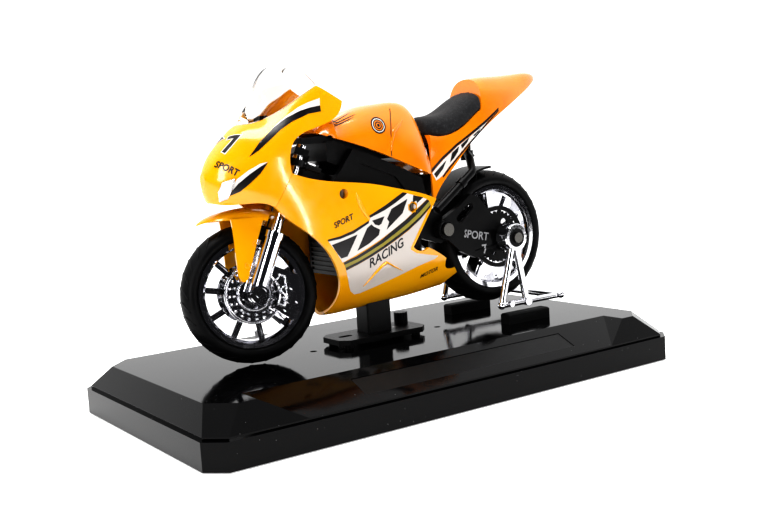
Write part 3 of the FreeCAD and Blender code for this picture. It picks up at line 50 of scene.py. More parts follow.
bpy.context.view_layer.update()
MM = 0.001
CHASSIS = "plinth_and_chassis"


# ------------------------------------------------------------ places, from the frame
def joint_place(name):
    return Vector(JOINTS[name]["pos_m"]) / MM


STEER_REST = math.radians(-14.0)
FRONT_HUB = joint_place("front_wheel_spin")
REAR_HUB = joint_place("rear_wheel_spin")
PIVOT = joint_place("swing_arm_pivot")
STEER_TURN = Matrix.Rotation(STEER_REST, 4, Vector(JOINTS["steer"]["axis"]))
FRONT_WHEEL = Matrix.Translation(FRONT_HUB) @ STEER_TURN
REAR_WHEEL = Matrix.Translation(REAR_HUB)


# ------------------------------------------------------------ small tools
def hue(code):
    """A linear colour from an sRGB hex value."""
    parts = [int(code[i:i + 2], 16) / 255 for i in (0, 2, 4)]
    return tuple(c / 12.92 if c <= 0.04045 else ((c + 0.055) / 1.055) ** 2.4 for c in parts) + (1.0,)


def add(tree, kind, inputs=None, **settings):
    """Adds a node with its settings, its input values and its links."""
    node = tree.nodes.new(kind)
    for key, value in settings.items():
        setattr(node, key, value)
    for key, value in (inputs or {}).items():
        if isinstance(value, bpy.types.NodeSocket):
            tree.links.new(value, node.inputs[key])
        else:
            node.inputs[key].default_value = value
    return node


def finish(name, **sockets):
    """A material with its shader's plain values set, and Object coordinates ready for its patterns."""
    made = bpy.data.materials.new(name)
    made.use_nodes = True
    tree = made.node_tree
    shader = tree.nodes["Principled BSDF"]
    for key, value in sockets.items():
        shader.inputs[key.replace("_", " ")].default_value = value
    return made, tree, shader, add(tree, "ShaderNodeTexCoord").outputs["Object"]


def noise(tree, at, grain, detail=2.0, rough=0.5):
    """Noise whose features are about one grain, in millimetres, across."""
    return add(tree, "ShaderNodeTexNoise", {"Vector": at, "Scale": 1 / (grain * MM), "Detail": detail,
                                            "Roughness": rough}).outputs["Fac"]


def stretch(tree, value, low, high, to_low, to_high):
    return add(tree, "ShaderNodeMapRange", {"Value": value, "From Min": low, "From Max": high,
                                            "To Min": to_low,
                                            "To Max": to_high}).outputs["Result"]


def blend_hues(tree, factor, first, second):
    node = add(tree, "ShaderNodeMix", {0: factor, 6: first, 7: second}, data_type="RGBA")
    return node.outputs[2]


def bump(tree, shader, height, depth, strength=1.0):
    """Relief of a depth in millimetres."""
    node = add(tree, "ShaderNodeBump", {"Height": height, "Distance": depth * MM, "Strength": strength})
    tree.links.new(node.outputs["Normal"], shader.inputs["Normal"])


# ------------------------------------------------------------ finishes
def moulded_abs(name, colour, deep, rough=0.14):
    """Injection-moulded gloss ABS: a hard even shine over a faint orange peel, with slow tint changes from the flow."""
    made, tree, shader, at = finish(name, Roughness=rough, IOR=1.53, Coat_Weight=0.3, Coat_Roughness=0.06,
                                    Subsurface_Weight=0.05, Subsurface_Scale=0.0015)
    flow = stretch(tree, noise(tree, at, 26, 1.0), 0.35, 0.7, 0.0, 1.0)
    tree.links.new(blend_hues(tree, flow, hue(colour), hue(deep)), shader.inputs["Base Color"])
    wear = stretch(tree, noise(tree, at, 3.5, 4.0), 0.3, 0.75, rough * 0.75, rough * 1.5)
    tree.links.new(wear, shader.inputs["Roughness"])
    bump(tree, shader, noise(tree, at, 1.6, 1.0), 0.006)
    return made


def enamel(name, colour, deep):
    """Baked enamel on die-cast zinc: deep wet gloss, a slight peel, and painted shade: the deep colour is a shaded tone
    of the given colour, laid in broad random patches.
    """
    made, tree, shader, at = finish(name, Roughness=0.16, IOR=1.5, Coat_Weight=0.8, Coat_Roughness=0.04)
    # painted shade: broad random patches about 14 mm across take the darker shaded tone of the enamel
    painted_shade_patches = stretch(tree, noise(tree, at, 14, 2.0), 0.3, 0.7, 0.0, 1.0)
    tree.links.new(blend_hues(tree, painted_shade_patches, hue(colour), hue(deep)), shader.inputs["Base Color"])
    bump(tree, shader, noise(tree, at, 1.1, 2.0), 0.008)
    return made


def polished_styrene(name):
    """Polished black styrene: near-mirror gloss that shows lint, dust and faint cloth smears."""
    made, tree, shader, at = finish(name, IOR=1.52, Specular_IOR_Level=0.14)
    cells = add(tree, "ShaderNodeTexVoronoi", {"Vector": at, "Scale": 1 / (2.4 * MM), "Randomness": 1.0})
    near = stretch(tree, cells.outputs["Distance"], 0.045, 0.075, 1.0, 0.0)
    tint = add(tree, "ShaderNodeSeparateColor", {0: cells.outputs["Color"]}).outputs[0]
    rare = stretch(tree, tint, 0.55, 0.6, 0.0, 1.0)
    dust = add(tree, "ShaderNodeMath", {0: near, 1: rare}, operation="MULTIPLY").outputs[0]
    tree.links.new(blend_hues(tree, dust, hue("050506"), hue("5C5C5C")), shader.inputs["Base Color"])
    smear = stretch(tree, noise(tree, at, 17, 5.0, 0.65), 0.4, 0.75, 0.055, 0.14)
    rough = add(tree, "ShaderNodeMath", {0: smear, 1: dust}, operation="MAXIMUM").outputs[0]
    tree.links.new(rough, shader.inputs["Roughness"])
    bump(tree, shader, noise(tree, at, 24, 1.0), 0.012)
    return made


def sparked_plastic(name, colour, rough, grain, depth, pale):
    """Black plastic from a spark-eroded mould: a fine dull grain whose raised edges rub paler."""
    made, tree, shader, at = finish(name, IOR=1.5, Specular_IOR_Level=0.2)
    field = noise(tree, at, grain, 4.0, 0.6)
    rub = stretch(tree, noise(tree, at, grain * 9, 3.0), 0.52, 0.8, 0.0, 0.6)
    tree.links.new(blend_hues(tree, rub, hue(colour), hue(pale)), shader.inputs["Base Color"])
    tree.links.new(stretch(tree, field, 0.3, 0.7, rough - 0.07, rough + 0.09), shader.inputs["Roughness"])
    bump(tree, shader, field, depth)
    return made


def chrome(name, tone="E9E9EC", rough=0.07):
    """Chrome plated over moulded plastic: a clean mirror with slight ripple and cloudier patches."""
    made, tree, shader, at = finish(name, Metallic=1.0)
    cloud = stretch(tree, noise(tree, at, 2.6, 4.0), 0.45, 0.8, 0.0, 1.0)
    tree.links.new(blend_hues(tree, cloud, hue(tone), hue("C9C9CE")), shader.inputs["Base Color"])
    tree.links.new(stretch(tree, cloud, 0, 1, rough, rough + 0.08), shader.inputs["Roughness"])
    bump(tree, shader, noise(tree, at, 1.3, 1.0), 0.010)
    return made


def turned_steel(name, tone="8B8985"):
    """Turned steel screw: brushed rings of tool marks, dull with handling."""
    made, tree, shader, at = finish(name, Metallic=1.0, Roughness=0.32)
    marks = noise(tree, at, 0.35, 3.0)
    tree.links.new(blend_hues(tree, marks, hue(tone), hue("55534F")), shader.inputs["Base Color"])
    bump(tree, shader, marks, 0.01)
    return made


def tyre_rubber(name):
    """Cured black rubber: soft dark sheen, a mould-release bloom on the walls and a fine pebble."""
    made, tree, shader, at = finish(name, IOR=1.5, Specular_IOR_Level=0.16)
    bloom = stretch(tree, noise(tree, at, 7, 3.0), 0.4, 0.8, 0.0, 1.0)
    tree.links.new(blend_hues(tree, bloom, hue("09090A"), hue("151516")), shader.inputs["Base Color"])
    tree.links.new(stretch(tree, bloom, 0, 1, 0.42, 0.6), shader.inputs["Roughness"])
    bump(tree, shader, noise(tree, at, 0.5, 3.0), 0.02)
    return made


def seat_skin(name):
    """Moulded seat pad with a suede-like grain: wholly matt, with pale dust held in the grain."""
    made, tree, shader, at = finish(name, IOR=1.45, Specular_IOR_Level=0.2, Sheen_Weight=0.1,
                                    Sheen_Roughness=0.6)
    cells = add(tree, "ShaderNodeTexVoronoi", {"Vector": at, "Scale": 1 / (0.42 * MM)}).outputs["Distance"]
    dust = stretch(tree, noise(tree, at, 1.1, 5.0, 0.7), 0.5, 0.75, 0.0, 1.0)
    tree.links.new(blend_hues(tree, dust, hue("1A1A1C"), hue("343436")), shader.inputs["Base Color"])
    tree.links.new(stretch(tree, cells, 0, 1, 0.78, 0.55), shader.inputs["Roughness"])
    bump(tree, shader, cells, 0.05)
    return made


def clear_styrene(name):
    """Clear crystal styrene, polished: full see-through with bright edges and a hint of warmth."""
    made, tree, shader, at = finish(name, IOR=1.49, Transmission_Weight=1.0, Roughness=0.03)
    tree.links.new(blend_hues(tree, noise(tree, at, 12, 1.0), hue("FFFFFF"), hue("F7F1EA")),
                   shader.inputs["Base Color"])
    bump(tree, shader, noise(tree, at, 6, 1.0), 0.01)
    return made


def pad_print(name, colour, worn, rough=0.28):
    """Pad-printed ink: flat opaque colour with a low shine and pinholes where the pad lifted."""
    made, tree, shader, at = finish(name, IOR=1.5)
    holes = stretch(tree, noise(tree, at, 0.9, 5.0, 0.7), 0.62, 0.8, 0.0, 0.7)
    tree.links.new(blend_hues(tree, holes, hue(colour), hue(worn)), shader.inputs["Base Color"])
    tree.links.new(stretch(tree, holes, 0, 1, rough, rough + 0.2), shader.inputs["Roughness"])
    bump(tree, shader, holes, 0.006)
    return made


YELLOW = moulded_abs("yellow_abs_moulded", "F2AD0C", "EAA004")
# the second orange is a painted shade tone of the enamel, not a second paint colour
ORANGE = enamel("orange_baked_enamel", "EE8F0A", "E47F04")
INKS = {"black": pad_print("black_pad_print", "161214", "2B2422"),
        "white": pad_print("white_pad_print", "DCD7D2", "C9C1B4"),
        "olive": pad_print("olive_pad_print", "9A8E36", "857A2E"),
        "panel": pad_print("pale_panel_print", "CFC6BF", "BFB5A9"),
        "grey": pad_print("grey_pad_print", "9C9C9E", "77777A")}
SATIN_BLACK = sparked_plastic("black_abs_spark_textured", "0A0A0B", 0.36, 0.35, 0.012, "151516")
DARK_RUBBER = sparked_plastic("black_moulded_rubber", "0B0B0C", 0.62, 0.5, 0.02, "161617")
FINISHES = {
    "gloss_black_plastic": polished_styrene("black_styrene_polished"),
    "satin_black_plastic": SATIN_BLACK,
    "screw_steel": turned_steel("steel_turned"),
    "foot_rubber": DARK_RUBBER,
    "grip_rubber": DARK_RUBBER,
    "tyre_rubber": tyre_rubber("rubber_cured_tyre"),
    "chrome_plating": chrome("chrome_on_abs"),
    "yellow_plastic": YELLOW,
    "orange_enamel": ORANGE,
    "clear_plastic": clear_styrene("clear_styrene_polished"),
    "seat_plastic": seat_skin("seat_pad_grained_pvc"),
}
for subpart in frame["record"]["subparts"]:
    node = NODES[subpart["node"]]
    node.data.materials.clear()
    node.data.materials.append(FINISHES[subpart["material_slot"]])


# ------------------------------------------------------------ making pieces
def piece(name, parts, material, body, smooth=True, place=None):
    """An object made of (points, faces) parts in millimetres, riding on a body."""
    points, faces = [], []
    for some_points, some_faces in parts:
        first = len(points)
        points += [Vector(p) for p in some_points]
        faces += [[first + i for i in face] for face in some_faces]
    mesh = bpy.data.meshes.new(name)
    mesh.from_pydata(points, [], faces)
    mesh.transform(Matrix.Scale(MM, 4) @ (place or Matrix.Identity(4)))
    return adopt(name, mesh, material, body, smooth)


def adopt(name, mesh, material, body, smooth=True):
    mesh.materials.clear()
    mesh.materials.append(material)
    mesh.polygons.foreach_set("use_smooth", [smooth] * len(mesh.polygons))
    made = bpy.data.objects.new(name, mesh)
    bpy.context.scene.collection.objects.link(made)
    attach(made, body)
    return made


def taken(mesh):
    """Points and faces out of a bmesh, which is freed."""
    mesh.verts.index_update()
    result = [v.co.copy() for v in mesh.verts], [[v.index for v in face.verts] for face in mesh.faces]
    mesh.free()
    return result


def surface(*names):
    """The outside of some nodes, to press thin pieces on to."""
    points, faces = [], []
    for name in names:
        data, first = NODES[name].data, len(points)
        points += [v.co / MM for v in data.vertices]
        faces += [[first + i for i in p.vertices] for p in data.polygons]
    return BVHTree.FromPolygons(points, faces)


def sliced(mesh, step):
    """Cuts a flat patch into squares, so that it can follow a curved surface."""
    for axis in (0, 1):
        low, high = (f(v.co[axis] for v in mesh.verts) for f in (min, max))
        normal = Vector((axis == 0, axis == 1, 0))
        at = math.floor(low / step) * step + step
        while at < high:
            everything = mesh.verts[:] + mesh.edges[:] + mesh.faces[:]
            bmesh.ops.bisect_plane(mesh, geom=everything, plane_co=normal * at, plane_no=normal)
            at += step
    return mesh


def filled(outlines, step=0.8):
    mesh = bmesh.new()
    for outline in outlines:
        flat = [Vector((a, b, 0)) for a, b in outline]
        corners = [mesh.verts.new(p) for p in flat]
        for triangle in tessellate_polygon([flat]):
            if len({*triangle}) == 3:
                mesh.faces.new([corners[i] for i in triangle])
    return sliced(mesh, step)


def lettering(text, height, heavy=0.0, slant=0.0, step=0.8):
    """Flat text, centred, its capitals one height tall."""
    curve = bpy.data.curves.new("lettering", "FONT")
    curve.body, curve.size, curve.shear, curve.offset = text, height * 1.4, slant, heavy
    curve.align_x, curve.align_y = "CENTER", "CENTER"
    curve.resolution_u = 3
    holder = bpy.data.objects.new("lettering", curve)
    bpy.context.scene.collection.objects.link(holder)
    bpy.context.view_layer.update()
    flat = bpy.data.meshes.new_from_object(holder)
    mesh = bmesh.new()
    mesh.from_mesh(flat)
    bmesh.ops.remove_doubles(mesh, verts=mesh.verts, dist=height * 0.004)
    bmesh.ops.triangulate(mesh, faces=mesh.faces)
    bpy.data.objects.remove(holder)
    bpy.data.curves.remove(curve)
    bpy.data.meshes.remove(flat)
    return sliced(mesh, step)


LEFT_SIDE = (Vector((0, 0, 0)), Vector((1, 0, 0)), Vector((0, 0, 1)))
RIGHT_SIDE = (Vector((0, 0, 0)), Vector((-1, 0, 0)), Vector((0, 0, 1)))


def pressed(mesh, view, skin, lift):
    """Lays a flat patch on to a surface. A view is an origin, the patch's right and its up."""
    origin, right, up = view
    out = right.cross(up).normalized()
    for vert in mesh.verts:
        start = origin + right * vert.co.x + up * vert.co.y
        hit, normal, _, _ = skin.ray_cast(start + out * 60, -out)
        if hit is None:
            hit, normal, _, _ = skin.find_nearest(start + out * 11)
        if normal.dot(out) < 0:
            normal = -normal
        vert.co = hit + normal * (lift(vert.co) if callable(lift) else lift)
    mesh.normal_update()
    wrong = [face for face in mesh.faces if face.normal.dot(out) < 0]
    bmesh.ops.reverse_faces(mesh, faces=wrong)
    return taken(mesh)


def flipped(outlines):
    return [[(-a, b) for a, b in outline] for outline in outlines]


def both_flanks(outlines, skin, lift, step=0.8):
    """The same printed shapes on the left side and on the right."""
    other = (lambda co: lift(Vector((-co.x, co.y, 0)))) if callable(lift) else lift
    return [pressed(filled(outlines, step), LEFT_SIDE, skin[0], lift),
            pressed(filled(flipped(outlines), step), RIGHT_SIDE, skin[1], other)]


def stroke(top, bottom):
    return top + bottom[::-1]


def seated(points, skin, view=None):
    """Where points meet a surface: straight on to it along a view, or to its nearest place, with the normal there."""
    found = []
    for point in points:
        if view is None:
            hit, normal, _, _ = skin.find_nearest(Vector(point))
        else:
            origin, right, up = view
            out = right.cross(up).normalized()
            start = origin + right * point[0] + up * point[1]
            hit, normal, _, _ = skin.ray_cast(start + out * 60, -out)
            if hit is None:
                hit, normal, _, _ = skin.find_nearest(start + out * 11)
            if normal.dot(out) < 0:
                normal = -normal
        found.append((hit, normal))
    return found


def divided(points, step, closed=False):
    """Points along straight runs, no more than a step apart."""
    points = [Vector(p) for p in points]
    made = []
    for a, b in zip(points, points[1:] + (points[:1] if closed else [])):
        count = max(1, math.ceil((b - a).length / step))
        made += [a.lerp(b, i / count) for i in range(count)]
    return made if closed else made + [points[-1]]


def ridge(spine, width, height, closed=False, taper=False, sunk=0.12):
    """A rounded raised bar along seated points."""
    mesh = bmesh.new()
    rings = []
    for i, (place, normal) in enumerate(spine):
        ahead = spine[(i + 1) % len(spine) if closed else min(i + 1, len(spine) - 1)][0]
        behind = spine[i - 1 if closed else max(i - 1, 0)][0]
        side = normal.cross(ahead - behind).normalized()
        share = math.sin(math.pi * (i + 0.5) / len(spine)) ** 0.6 if taper else 1.0
        half, tall = width / 2 * share, height * share
        rings.append([mesh.verts.new(place + side * half * a + normal * (tall * b if b >= 0 else -sunk))
                      for a, b in ((-1, -1), (-0.92, 0.45), (-0.5, 0.9), (0, 1), (0.5, 0.9), (0.92, 0.45),
                                   (1, -1))])
    pairs = list(zip(rings, rings[1:])) + ([(rings[-1], rings[0])] if closed else [])
    for one, other in pairs:
        for k in range(7):
            mesh.faces.new([one[k], other[k], other[(k + 1) % 7], one[(k + 1) % 7]])
    if not closed:
        mesh.faces.new(rings[0])
        mesh.faces.new(rings[-1][::-1])
    bmesh.ops.recalc_face_normals(mesh, faces=mesh.faces)
    return taken(mesh)


def ridges(paths, view, skin, width, height, closed=False, taper=False, step=0.6):
    return [ridge(seated(divided([(*p, 0) for p in path], step, closed), skin, view), width, height, closed,
                  taper)
            for path in paths]


def plate(outline, view, skin, lift, sunk=0.2, step=0.8):
    """A thin raised plate pressed on to a surface, with walls down to it."""
    mesh = filled([outline], step)
    bmesh.ops.remove_doubles(mesh, verts=mesh.verts, dist=1e-4)
    mesh.verts.index_update()
    flat = [v.co.copy() for v in mesh.verts]
    feet = seated(flat, skin, view)
    for vert, (hit, normal) in zip(mesh.verts, feet):
        vert.co = hit + normal * (lift(flat[vert.index]) if callable(lift) else lift)
    rim = [edge for edge in mesh.edges if edge.is_boundary]
    owner = {vert: feet[vert.index] for edge in rim for vert in edge.verts}
    walls = {vert: mesh.verts.new(hit - normal * sunk) for vert, (hit, normal) in owner.items()}
    for edge in rim:
        a, b = edge.verts
        mesh.faces.new([a, b, walls[b], walls[a]])
    top = [face for face in mesh.faces if all(0 <= v.index < len(flat) for v in face.verts)]
    for face in top:
        corners = []
        for vert in face.verts:
            if vert not in walls:
                hit, normal = feet[vert.index]
                walls[vert] = mesh.verts.new(hit - normal * sunk)
            corners.append(walls[vert])
        mesh.faces.new(corners[::-1])
    bmesh.ops.recalc_face_normals(mesh, faces=mesh.faces)
    return taken(mesh)


def lathed(profile, count=48):
    """A solid of revolution about local Y, from (radius, y) pairs that start and end on the axis or close on themselves."""
    mesh = bmesh.new()
    rows = []
    for radius, y in profile:
        if radius < 1e-6:
            rows.append([mesh.verts.new((0, y, 0))])
        else:
            rows.append([mesh.verts.new((radius * math.cos(math.tau * i / count), y,
                                         radius * math.sin(math.tau * i / count)))
                         for i in range(count)])
    closed = profile[0][0] > 1e-6
    for one, other in list(zip(rows, rows[1:])) + ([(rows[-1], rows[0])] if closed else []):
        for i in range(count):
            k = (i + 1) % count
            corners = [one[i % len(one)], one[k % len(one)], other[k % len(other)], other[i % len(other)]]
            unique = list(dict.fromkeys(corners))
            if len(unique) > 2:
                mesh.faces.new(unique)
    bmesh.ops.recalc_face_normals(mesh, faces=mesh.faces)
    return taken(mesh)


def around_tree():
    """Geometry Nodes: a shape set out evenly round the local Y axis."""
    tree = bpy.data.node_groups.new("set_out_round_axle", "GeometryNodeTree")
    for title, kind in (("Shape", "NodeSocketGeometry"), ("Count", "NodeSocketInt"),
                        ("Start", "NodeSocketFloat"),
                        ("Finish", "NodeSocketMaterial")):
        tree.interface.new_socket(title, in_out="INPUT", socket_type=kind)
    tree.interface.new_socket("Ring", in_out="OUTPUT", socket_type="NodeSocketGeometry")
    given = add(tree, "NodeGroupInput").outputs
    spots = add(tree, "GeometryNodePoints", {"Count": given["Count"]}).outputs[0]
    share = add(tree, "ShaderNodeMath", {0: add(tree, "GeometryNodeInputIndex").outputs[0],
                                         1: given["Count"]},
                operation="DIVIDE").outputs[0]
    turn = add(tree, "ShaderNodeMath", {0: share, 1: math.tau, 2: given["Start"]},
               operation="MULTIPLY_ADD").outputs[0]
    spin = add(tree, "ShaderNodeCombineXYZ", {"Y": turn}).outputs[0]
    ring = add(tree, "GeometryNodeInstanceOnPoints", {"Points": spots, "Instance": given["Shape"],
                                                      "Rotation": spin}).outputs[0]
    solid = add(tree, "GeometryNodeRealizeInstances", {"Geometry": ring}).outputs[0]
    done = add(tree, "GeometryNodeSetMaterial", {"Geometry": solid, "Material": given["Finish"]}).outputs[0]
    add(tree, "NodeGroupOutput", {0: done})
    return tree


AROUND = around_tree()


def grown(name, parts, tree, values, material, body, smooth, place):
    """The plain mesh that a Geometry Nodes tree makes from some parts."""
    points, faces = [], []
    for some_points, some_faces in parts:
        first = len(points)
        points += some_points
        faces += [[first + i for i in face] for face in some_faces]
    seed = bpy.data.meshes.new(name)
    seed.from_pydata(points, [], faces)
    holder = bpy.data.objects.new(name + "_seed", seed)
    bpy.context.scene.collection.objects.link(holder)
    modifier = holder.modifiers.new("set_out", "NODES")
    modifier.node_group = tree
    keys = {item.name: item.identifier for item in tree.interface.items_tree if item.in_out == "INPUT"}
    for title, value in {**values, "Finish": material}.items():
        modifier[keys[title]] = value
    bpy.context.view_layer.update()
    mesh = bpy.data.meshes.new_from_object(holder.evaluated_get(bpy.context.evaluated_depsgraph_get()))
    holder.modifiers.clear()
    bpy.data.objects.remove(holder)
    mesh.transform(Matrix.Scale(MM, 4) @ place)
    return adopt(name, mesh, material, body, smooth)


def around(name, parts, count, material, body, place, start=0.0, smooth=True):
    return grown(name, parts, AROUND, {"Count": count, "Start": start}, material, body, smooth, place)


# ------------------------------------------------------------ printed band, panel, words and flashes on the fairing
SHELL = surface("nose_cowl", "fairing_left"), surface("nose_cowl", "fairing_right")
PRINT = {ink: [] for ink in INKS}
BAND = [(-30.1, 55.6), (-25.5, 56.0), (-20.0, 57.3), (-13.9, 60.1), (-13.1, 61.8), (-6.9, 63.8), (-1.9, 66.0),
        (3.0, 68.6), (6.0, 67.7), (9.9, 66.6), (11.9, 65.8), (6.8, 62.8), (1.5, 59.5), (-4.8, 56.3),
        (-9.7, 53.9),
        (-14.9, 51.7), (-19.9, 49.7), (-24.8, 47.9), (-27.5, 52.1)]
BLOCKS = [
    [(-28.8, 54.3), (-23.6, 55.4), (-18.6, 56.7), (-22.9, 49.8), (-25.4, 49.4), (-27.5, 52.1)],
    [(-14.7, 58.4), (-12.9, 59.5), (-11.9, 58.6), (-9.5, 57.4), (-10.1, 55.6), (-14.3, 53.1), (-19.0, 51.2)],
    [(-12.5, 60.7), (-7.3, 61.7), (-8.8, 59.3), (-9.9, 58.8), (-11.4, 59.3)],
    [(-4.2, 63.9), (3.0, 66.7), (0.5, 62.0), (-6.8, 57.0), (-5.5, 59.6), (-6.3, 60.7)],
    [(5.7, 67.7), (10.2, 66.6), (6.9, 64.6), (7.0, 63.5), (4.2, 61.9), (3.3, 62.8), (3.8, 64.5), (5.3, 65.4)]]
LINES = [
    stroke([(-30.4, 56.2), (-25.4, 56.8), (-20.4, 58.1), (-13.8, 60.8)],
           [(-30.1, 55.6), (-25.5, 55.9), (-20.0, 57.2), (-13.9, 60.0)]),
    stroke([(-13.7, 62.4), (-6.8, 65.3), (1.1, 69.1), (3.0, 68.7)],
           [(-13.1, 61.8), (-6.9, 63.8), (-1.9, 66.0), (2.6, 68.3)]),
    stroke([(-24.5, 47.9), (-19.4, 49.4), (-14.4, 51.5), (-9.2, 53.8), (-4.3, 56.5), (2.0, 59.7), (7.4, 62.9),
            (11.9, 65.7)],
           [(-24.1, 47.1), (-18.9, 48.5), (-14.0, 50.5), (-8.5, 52.8), (-3.2, 55.4), (3.1, 58.6), (8.4, 61.8),
            (13.0, 65.1)]),
    stroke([(-23.6, 46.0), (-18.7, 47.5), (-13.8, 49.4), (-8.6, 51.6), (-3.2, 54.1), (2.5, 56.8), (8.4, 60.1),
            (13.5, 63.8)],
           [(-23.3, 45.1), (-18.4, 46.7), (-13.5, 48.6), (-8.3, 50.8), (-3.0, 53.2), (2.7, 55.9), (8.3, 59.1),
            (13.2, 62.8)])]
OLIVE = [stroke([(-24.1, 47.1), (-18.9, 48.5), (-14.0, 50.5), (-8.5, 52.8), (-3.2, 55.4), (3.1, 58.6),
                 (8.4, 61.8), (13.0, 65.1)],
                [(-23.6, 46.0), (-18.7, 47.5), (-13.8, 49.4), (-8.6, 51.6), (-3.2, 54.1), (2.5, 56.8),
                 (8.4, 60.1), (13.5, 63.8)])]
PANEL = [[(-23.3, 45.0), (-18.4, 46.6), (-13.5, 48.5), (-8.3, 50.7), (-2.9, 53.1), (2.9, 55.8), (8.2, 59.0),
          (12.0, 61.6),
          (3.6, 50.1), (3.4, 49.0), (6.2, 47.4), (10.0, 46.6), (16.2, 45.3), (14.7, 44.4), (7.0, 42.6),
          (-1.5, 40.2),
          (-8.7, 38.2), (-16.1, 36.1), (-18.4, 36.0), (-20.3, 37.4), (-21.4, 39.6), (-22.4, 42.4)]]
FLASH = {"black": [[(-54.7, 84.8), (-50.4, 89.3), (-45.2, 93.1), (-39.9, 96.3), (-35.0, 98.4), (-31.4, 99.3),
                    (-27.7, 99.8),
                    (-27.6, 97.9), (-32.5, 97.3), (-38.4, 95.1), (-42.9, 92.6), (-47.8, 89.2), (-51.5, 86.6)],
                   [(-49.2, 82.7), (-51.9, 81.5), (-55.2, 79.5), (-58.7, 76.7), (-60.2, 74.9), (-61.2, 73.0),
                    (-58.3, 74.2),
                    (-55.4, 76.6), (-52.1, 79.4)]],
         "white": [[(-45.6, 92.9), (-39.6, 97.0), (-35.3, 99.6), (-31.8, 101.0), (-27.4, 102.2),
                    (-27.7, 99.8), (-31.4, 99.3),
                    (-35.0, 98.4), (-39.9, 96.3)],
                   [(-49.2, 82.9), (-51.8, 82.5), (-55.6, 80.6), (-58.9, 78.2), (-60.5, 75.6), (-60.2, 74.9),
                    (-58.7, 76.7),
                    (-55.2, 79.5), (-51.9, 81.5)]]}
PRINT["panel"] += both_flanks(PANEL, SHELL, 0.04)
PRINT["white"] += both_flanks([BAND] + FLASH["white"], SHELL, 0.05)
PRINT["olive"] += both_flanks(OLIVE, SHELL, 0.06)
PRINT["black"] += both_flanks(BLOCKS + LINES + FLASH["black"], SHELL, 0.09)


def words(text, height, centre, along, skins, lift, heavy=0.0, slant=0.0, step=0.8, sides=(-1, 1)):
    """Text on one or both flanks. along is the direction that it reads in on the left side."""
    made = []
    for side in sides:
        right = Vector((-side * along[0], 0, along[1])).normalized()
        up = Vector((side * right.z, 0, -side * right.x))
        view = Vector((centre[0], 0, centre[1])), right, up
        made.append(pressed(lettering(text, height, heavy, slant, step), view, skins[side > 0], lift))
    return made


PRINT["black"] += words("RACING", 3.0, (-7.4, 48.9), (21.4, 8.9), SHELL, 0.09, 0.09, 0.35)
PRINT["black"] += words("SPORT", 1.9, (-23.8, 61.6), (13.9, 4.6), SHELL, 0.07, 0.06, 0.2)
PRINT["black"] += words("MOTOR", 1.5, (13.0, 39.5), (11.0, 3.1), SHELL, 0.07, 0.04, 0.3)

# the number and the word on each side of the nose face forwards and outwards
for side in (-1, 1):
    skin = SHELL[side > 0]
    for text, place, right, height, heavy in (("7", (-58.3, -4.4, 88.6), (0.60, -0.80, -0.04), 6.6, 0.20),
                                              ("SPORT", (-61.1, -6.8, 81.7), (0.65, -0.63, -0.43), 1.9,
                                               0.07)):
        right = Vector((-side * right[0], right[1], -side * right[2])).normalized()
        up = Vector((0.558, -side * 0.381, 0.737))
        up = (up - right * up.dot(right)).normalized()
        view = Vector((place[0], -side * place[1], place[2])), right, up
        if text == "7":
            PRINT["white"].append(pressed(lettering(text, height, heavy + 0.34, 0.12, 0.6), view, skin, 0.06))
        PRINT["black"].append(pressed(lettering(text, height, heavy, 0.12, 0.6), view, skin, 0.10))

# ------------------------------------------------------------ tank and tail prints
TANK_SKIN = surface("tank_cover"), surface("tank_cover")
TAIL_SKIN = surface("tail_cowl"), surface("tail_cowl")


def disc_outline(x, z, radius, squash=1.0, count=28):
    return [(x + radius * math.cos(math.tau * i / count),
             z + radius * squash * math.sin(math.tau * i / count))
            for i in range(count)]


def ring_outlines(x, z, outer, inner, squash=1.0, count=28):
    """A ring as a run of small quads, because a filled outline has no hole."""
    a, b = disc_outline(x, z, outer, squash, count), disc_outline(x, z, inner, squash, count)
    return [[a[i], a[(i + 1) % count], b[(i + 1) % count], b[i]] for i in range(count)]


BADGE = (-4.7, 92.3)
PRINT["white"] += both_flanks(ring_outlines(*BADGE, 2.45, 2.0), TANK_SKIN, 0.05, 0.6)
PRINT["black"] += both_flanks(ring_outlines(*BADGE, 2.85, 2.4) + ring_outlines(*BADGE, 2.05,
                                                                               1.75) + ring_outlines(*BADGE,
                                                                                                     1.3,
                                                                                                     0.95)
                              + [disc_outline(BADGE[0], BADGE[1], 0.5, 1.0, 16)], TANK_SKIN, 0.08, 0.6)
TAIL_WHITE = [stroke([(17.6, 74.5), (22.8, 79.0), (29.1, 83.2), (35.9, 86.7), (41.8, 90.1), (45.6, 92.6)],
                     [(19.0, 71.7), (21.8, 73.2), (24.8, 76.2), (29.0, 79.7), (33.4, 83.2), (40.6, 88.4)])]
TAIL_BLACK = [
    stroke([(17.0, 75.4), (22.4, 80.0), (28.7, 84.1), (35.5, 87.6), (42.4, 91.4), (50.2, 96.2)],
           [(17.5, 74.7), (22.8, 79.2), (29.1, 83.4), (35.9, 86.9), (42.8, 90.6), (50.2, 95.5)]),
    [(18.3, 74.1), (23.9, 78.6), (22.3, 75.7), (19.2, 72.7)],
    [(25.4, 77.7), (26.5, 81.0), (30.0, 83.3), (29.2, 81.3), (27.3, 79.2)],
    [(30.8, 83.6), (35.1, 86.2), (33.8, 84.3), (31.2, 82.3)],
    [(37.0, 86.8), (40.8, 89.1), (39.8, 88.0), (37.4, 86.4)],
    stroke([(21.8, 73.0), (24.9, 76.1), (29.1, 79.6), (33.5, 83.1), (43.4, 90.6), (50.3, 95.4)],
           [(22.1, 72.5), (25.3, 75.6), (29.4, 79.1), (33.8, 82.6), (43.6, 90.1), (50.3, 95.0)])]
PRINT["white"] += both_flanks(TAIL_WHITE, TAIL_SKIN, 0.05)
PRINT["black"] += both_flanks(TAIL_BLACK, TAIL_SKIN, 0.09)
TOP_VIEW = Vector((0, 0, 0)), Vector((1, 0, 0)), Vector((0, 1, 0))
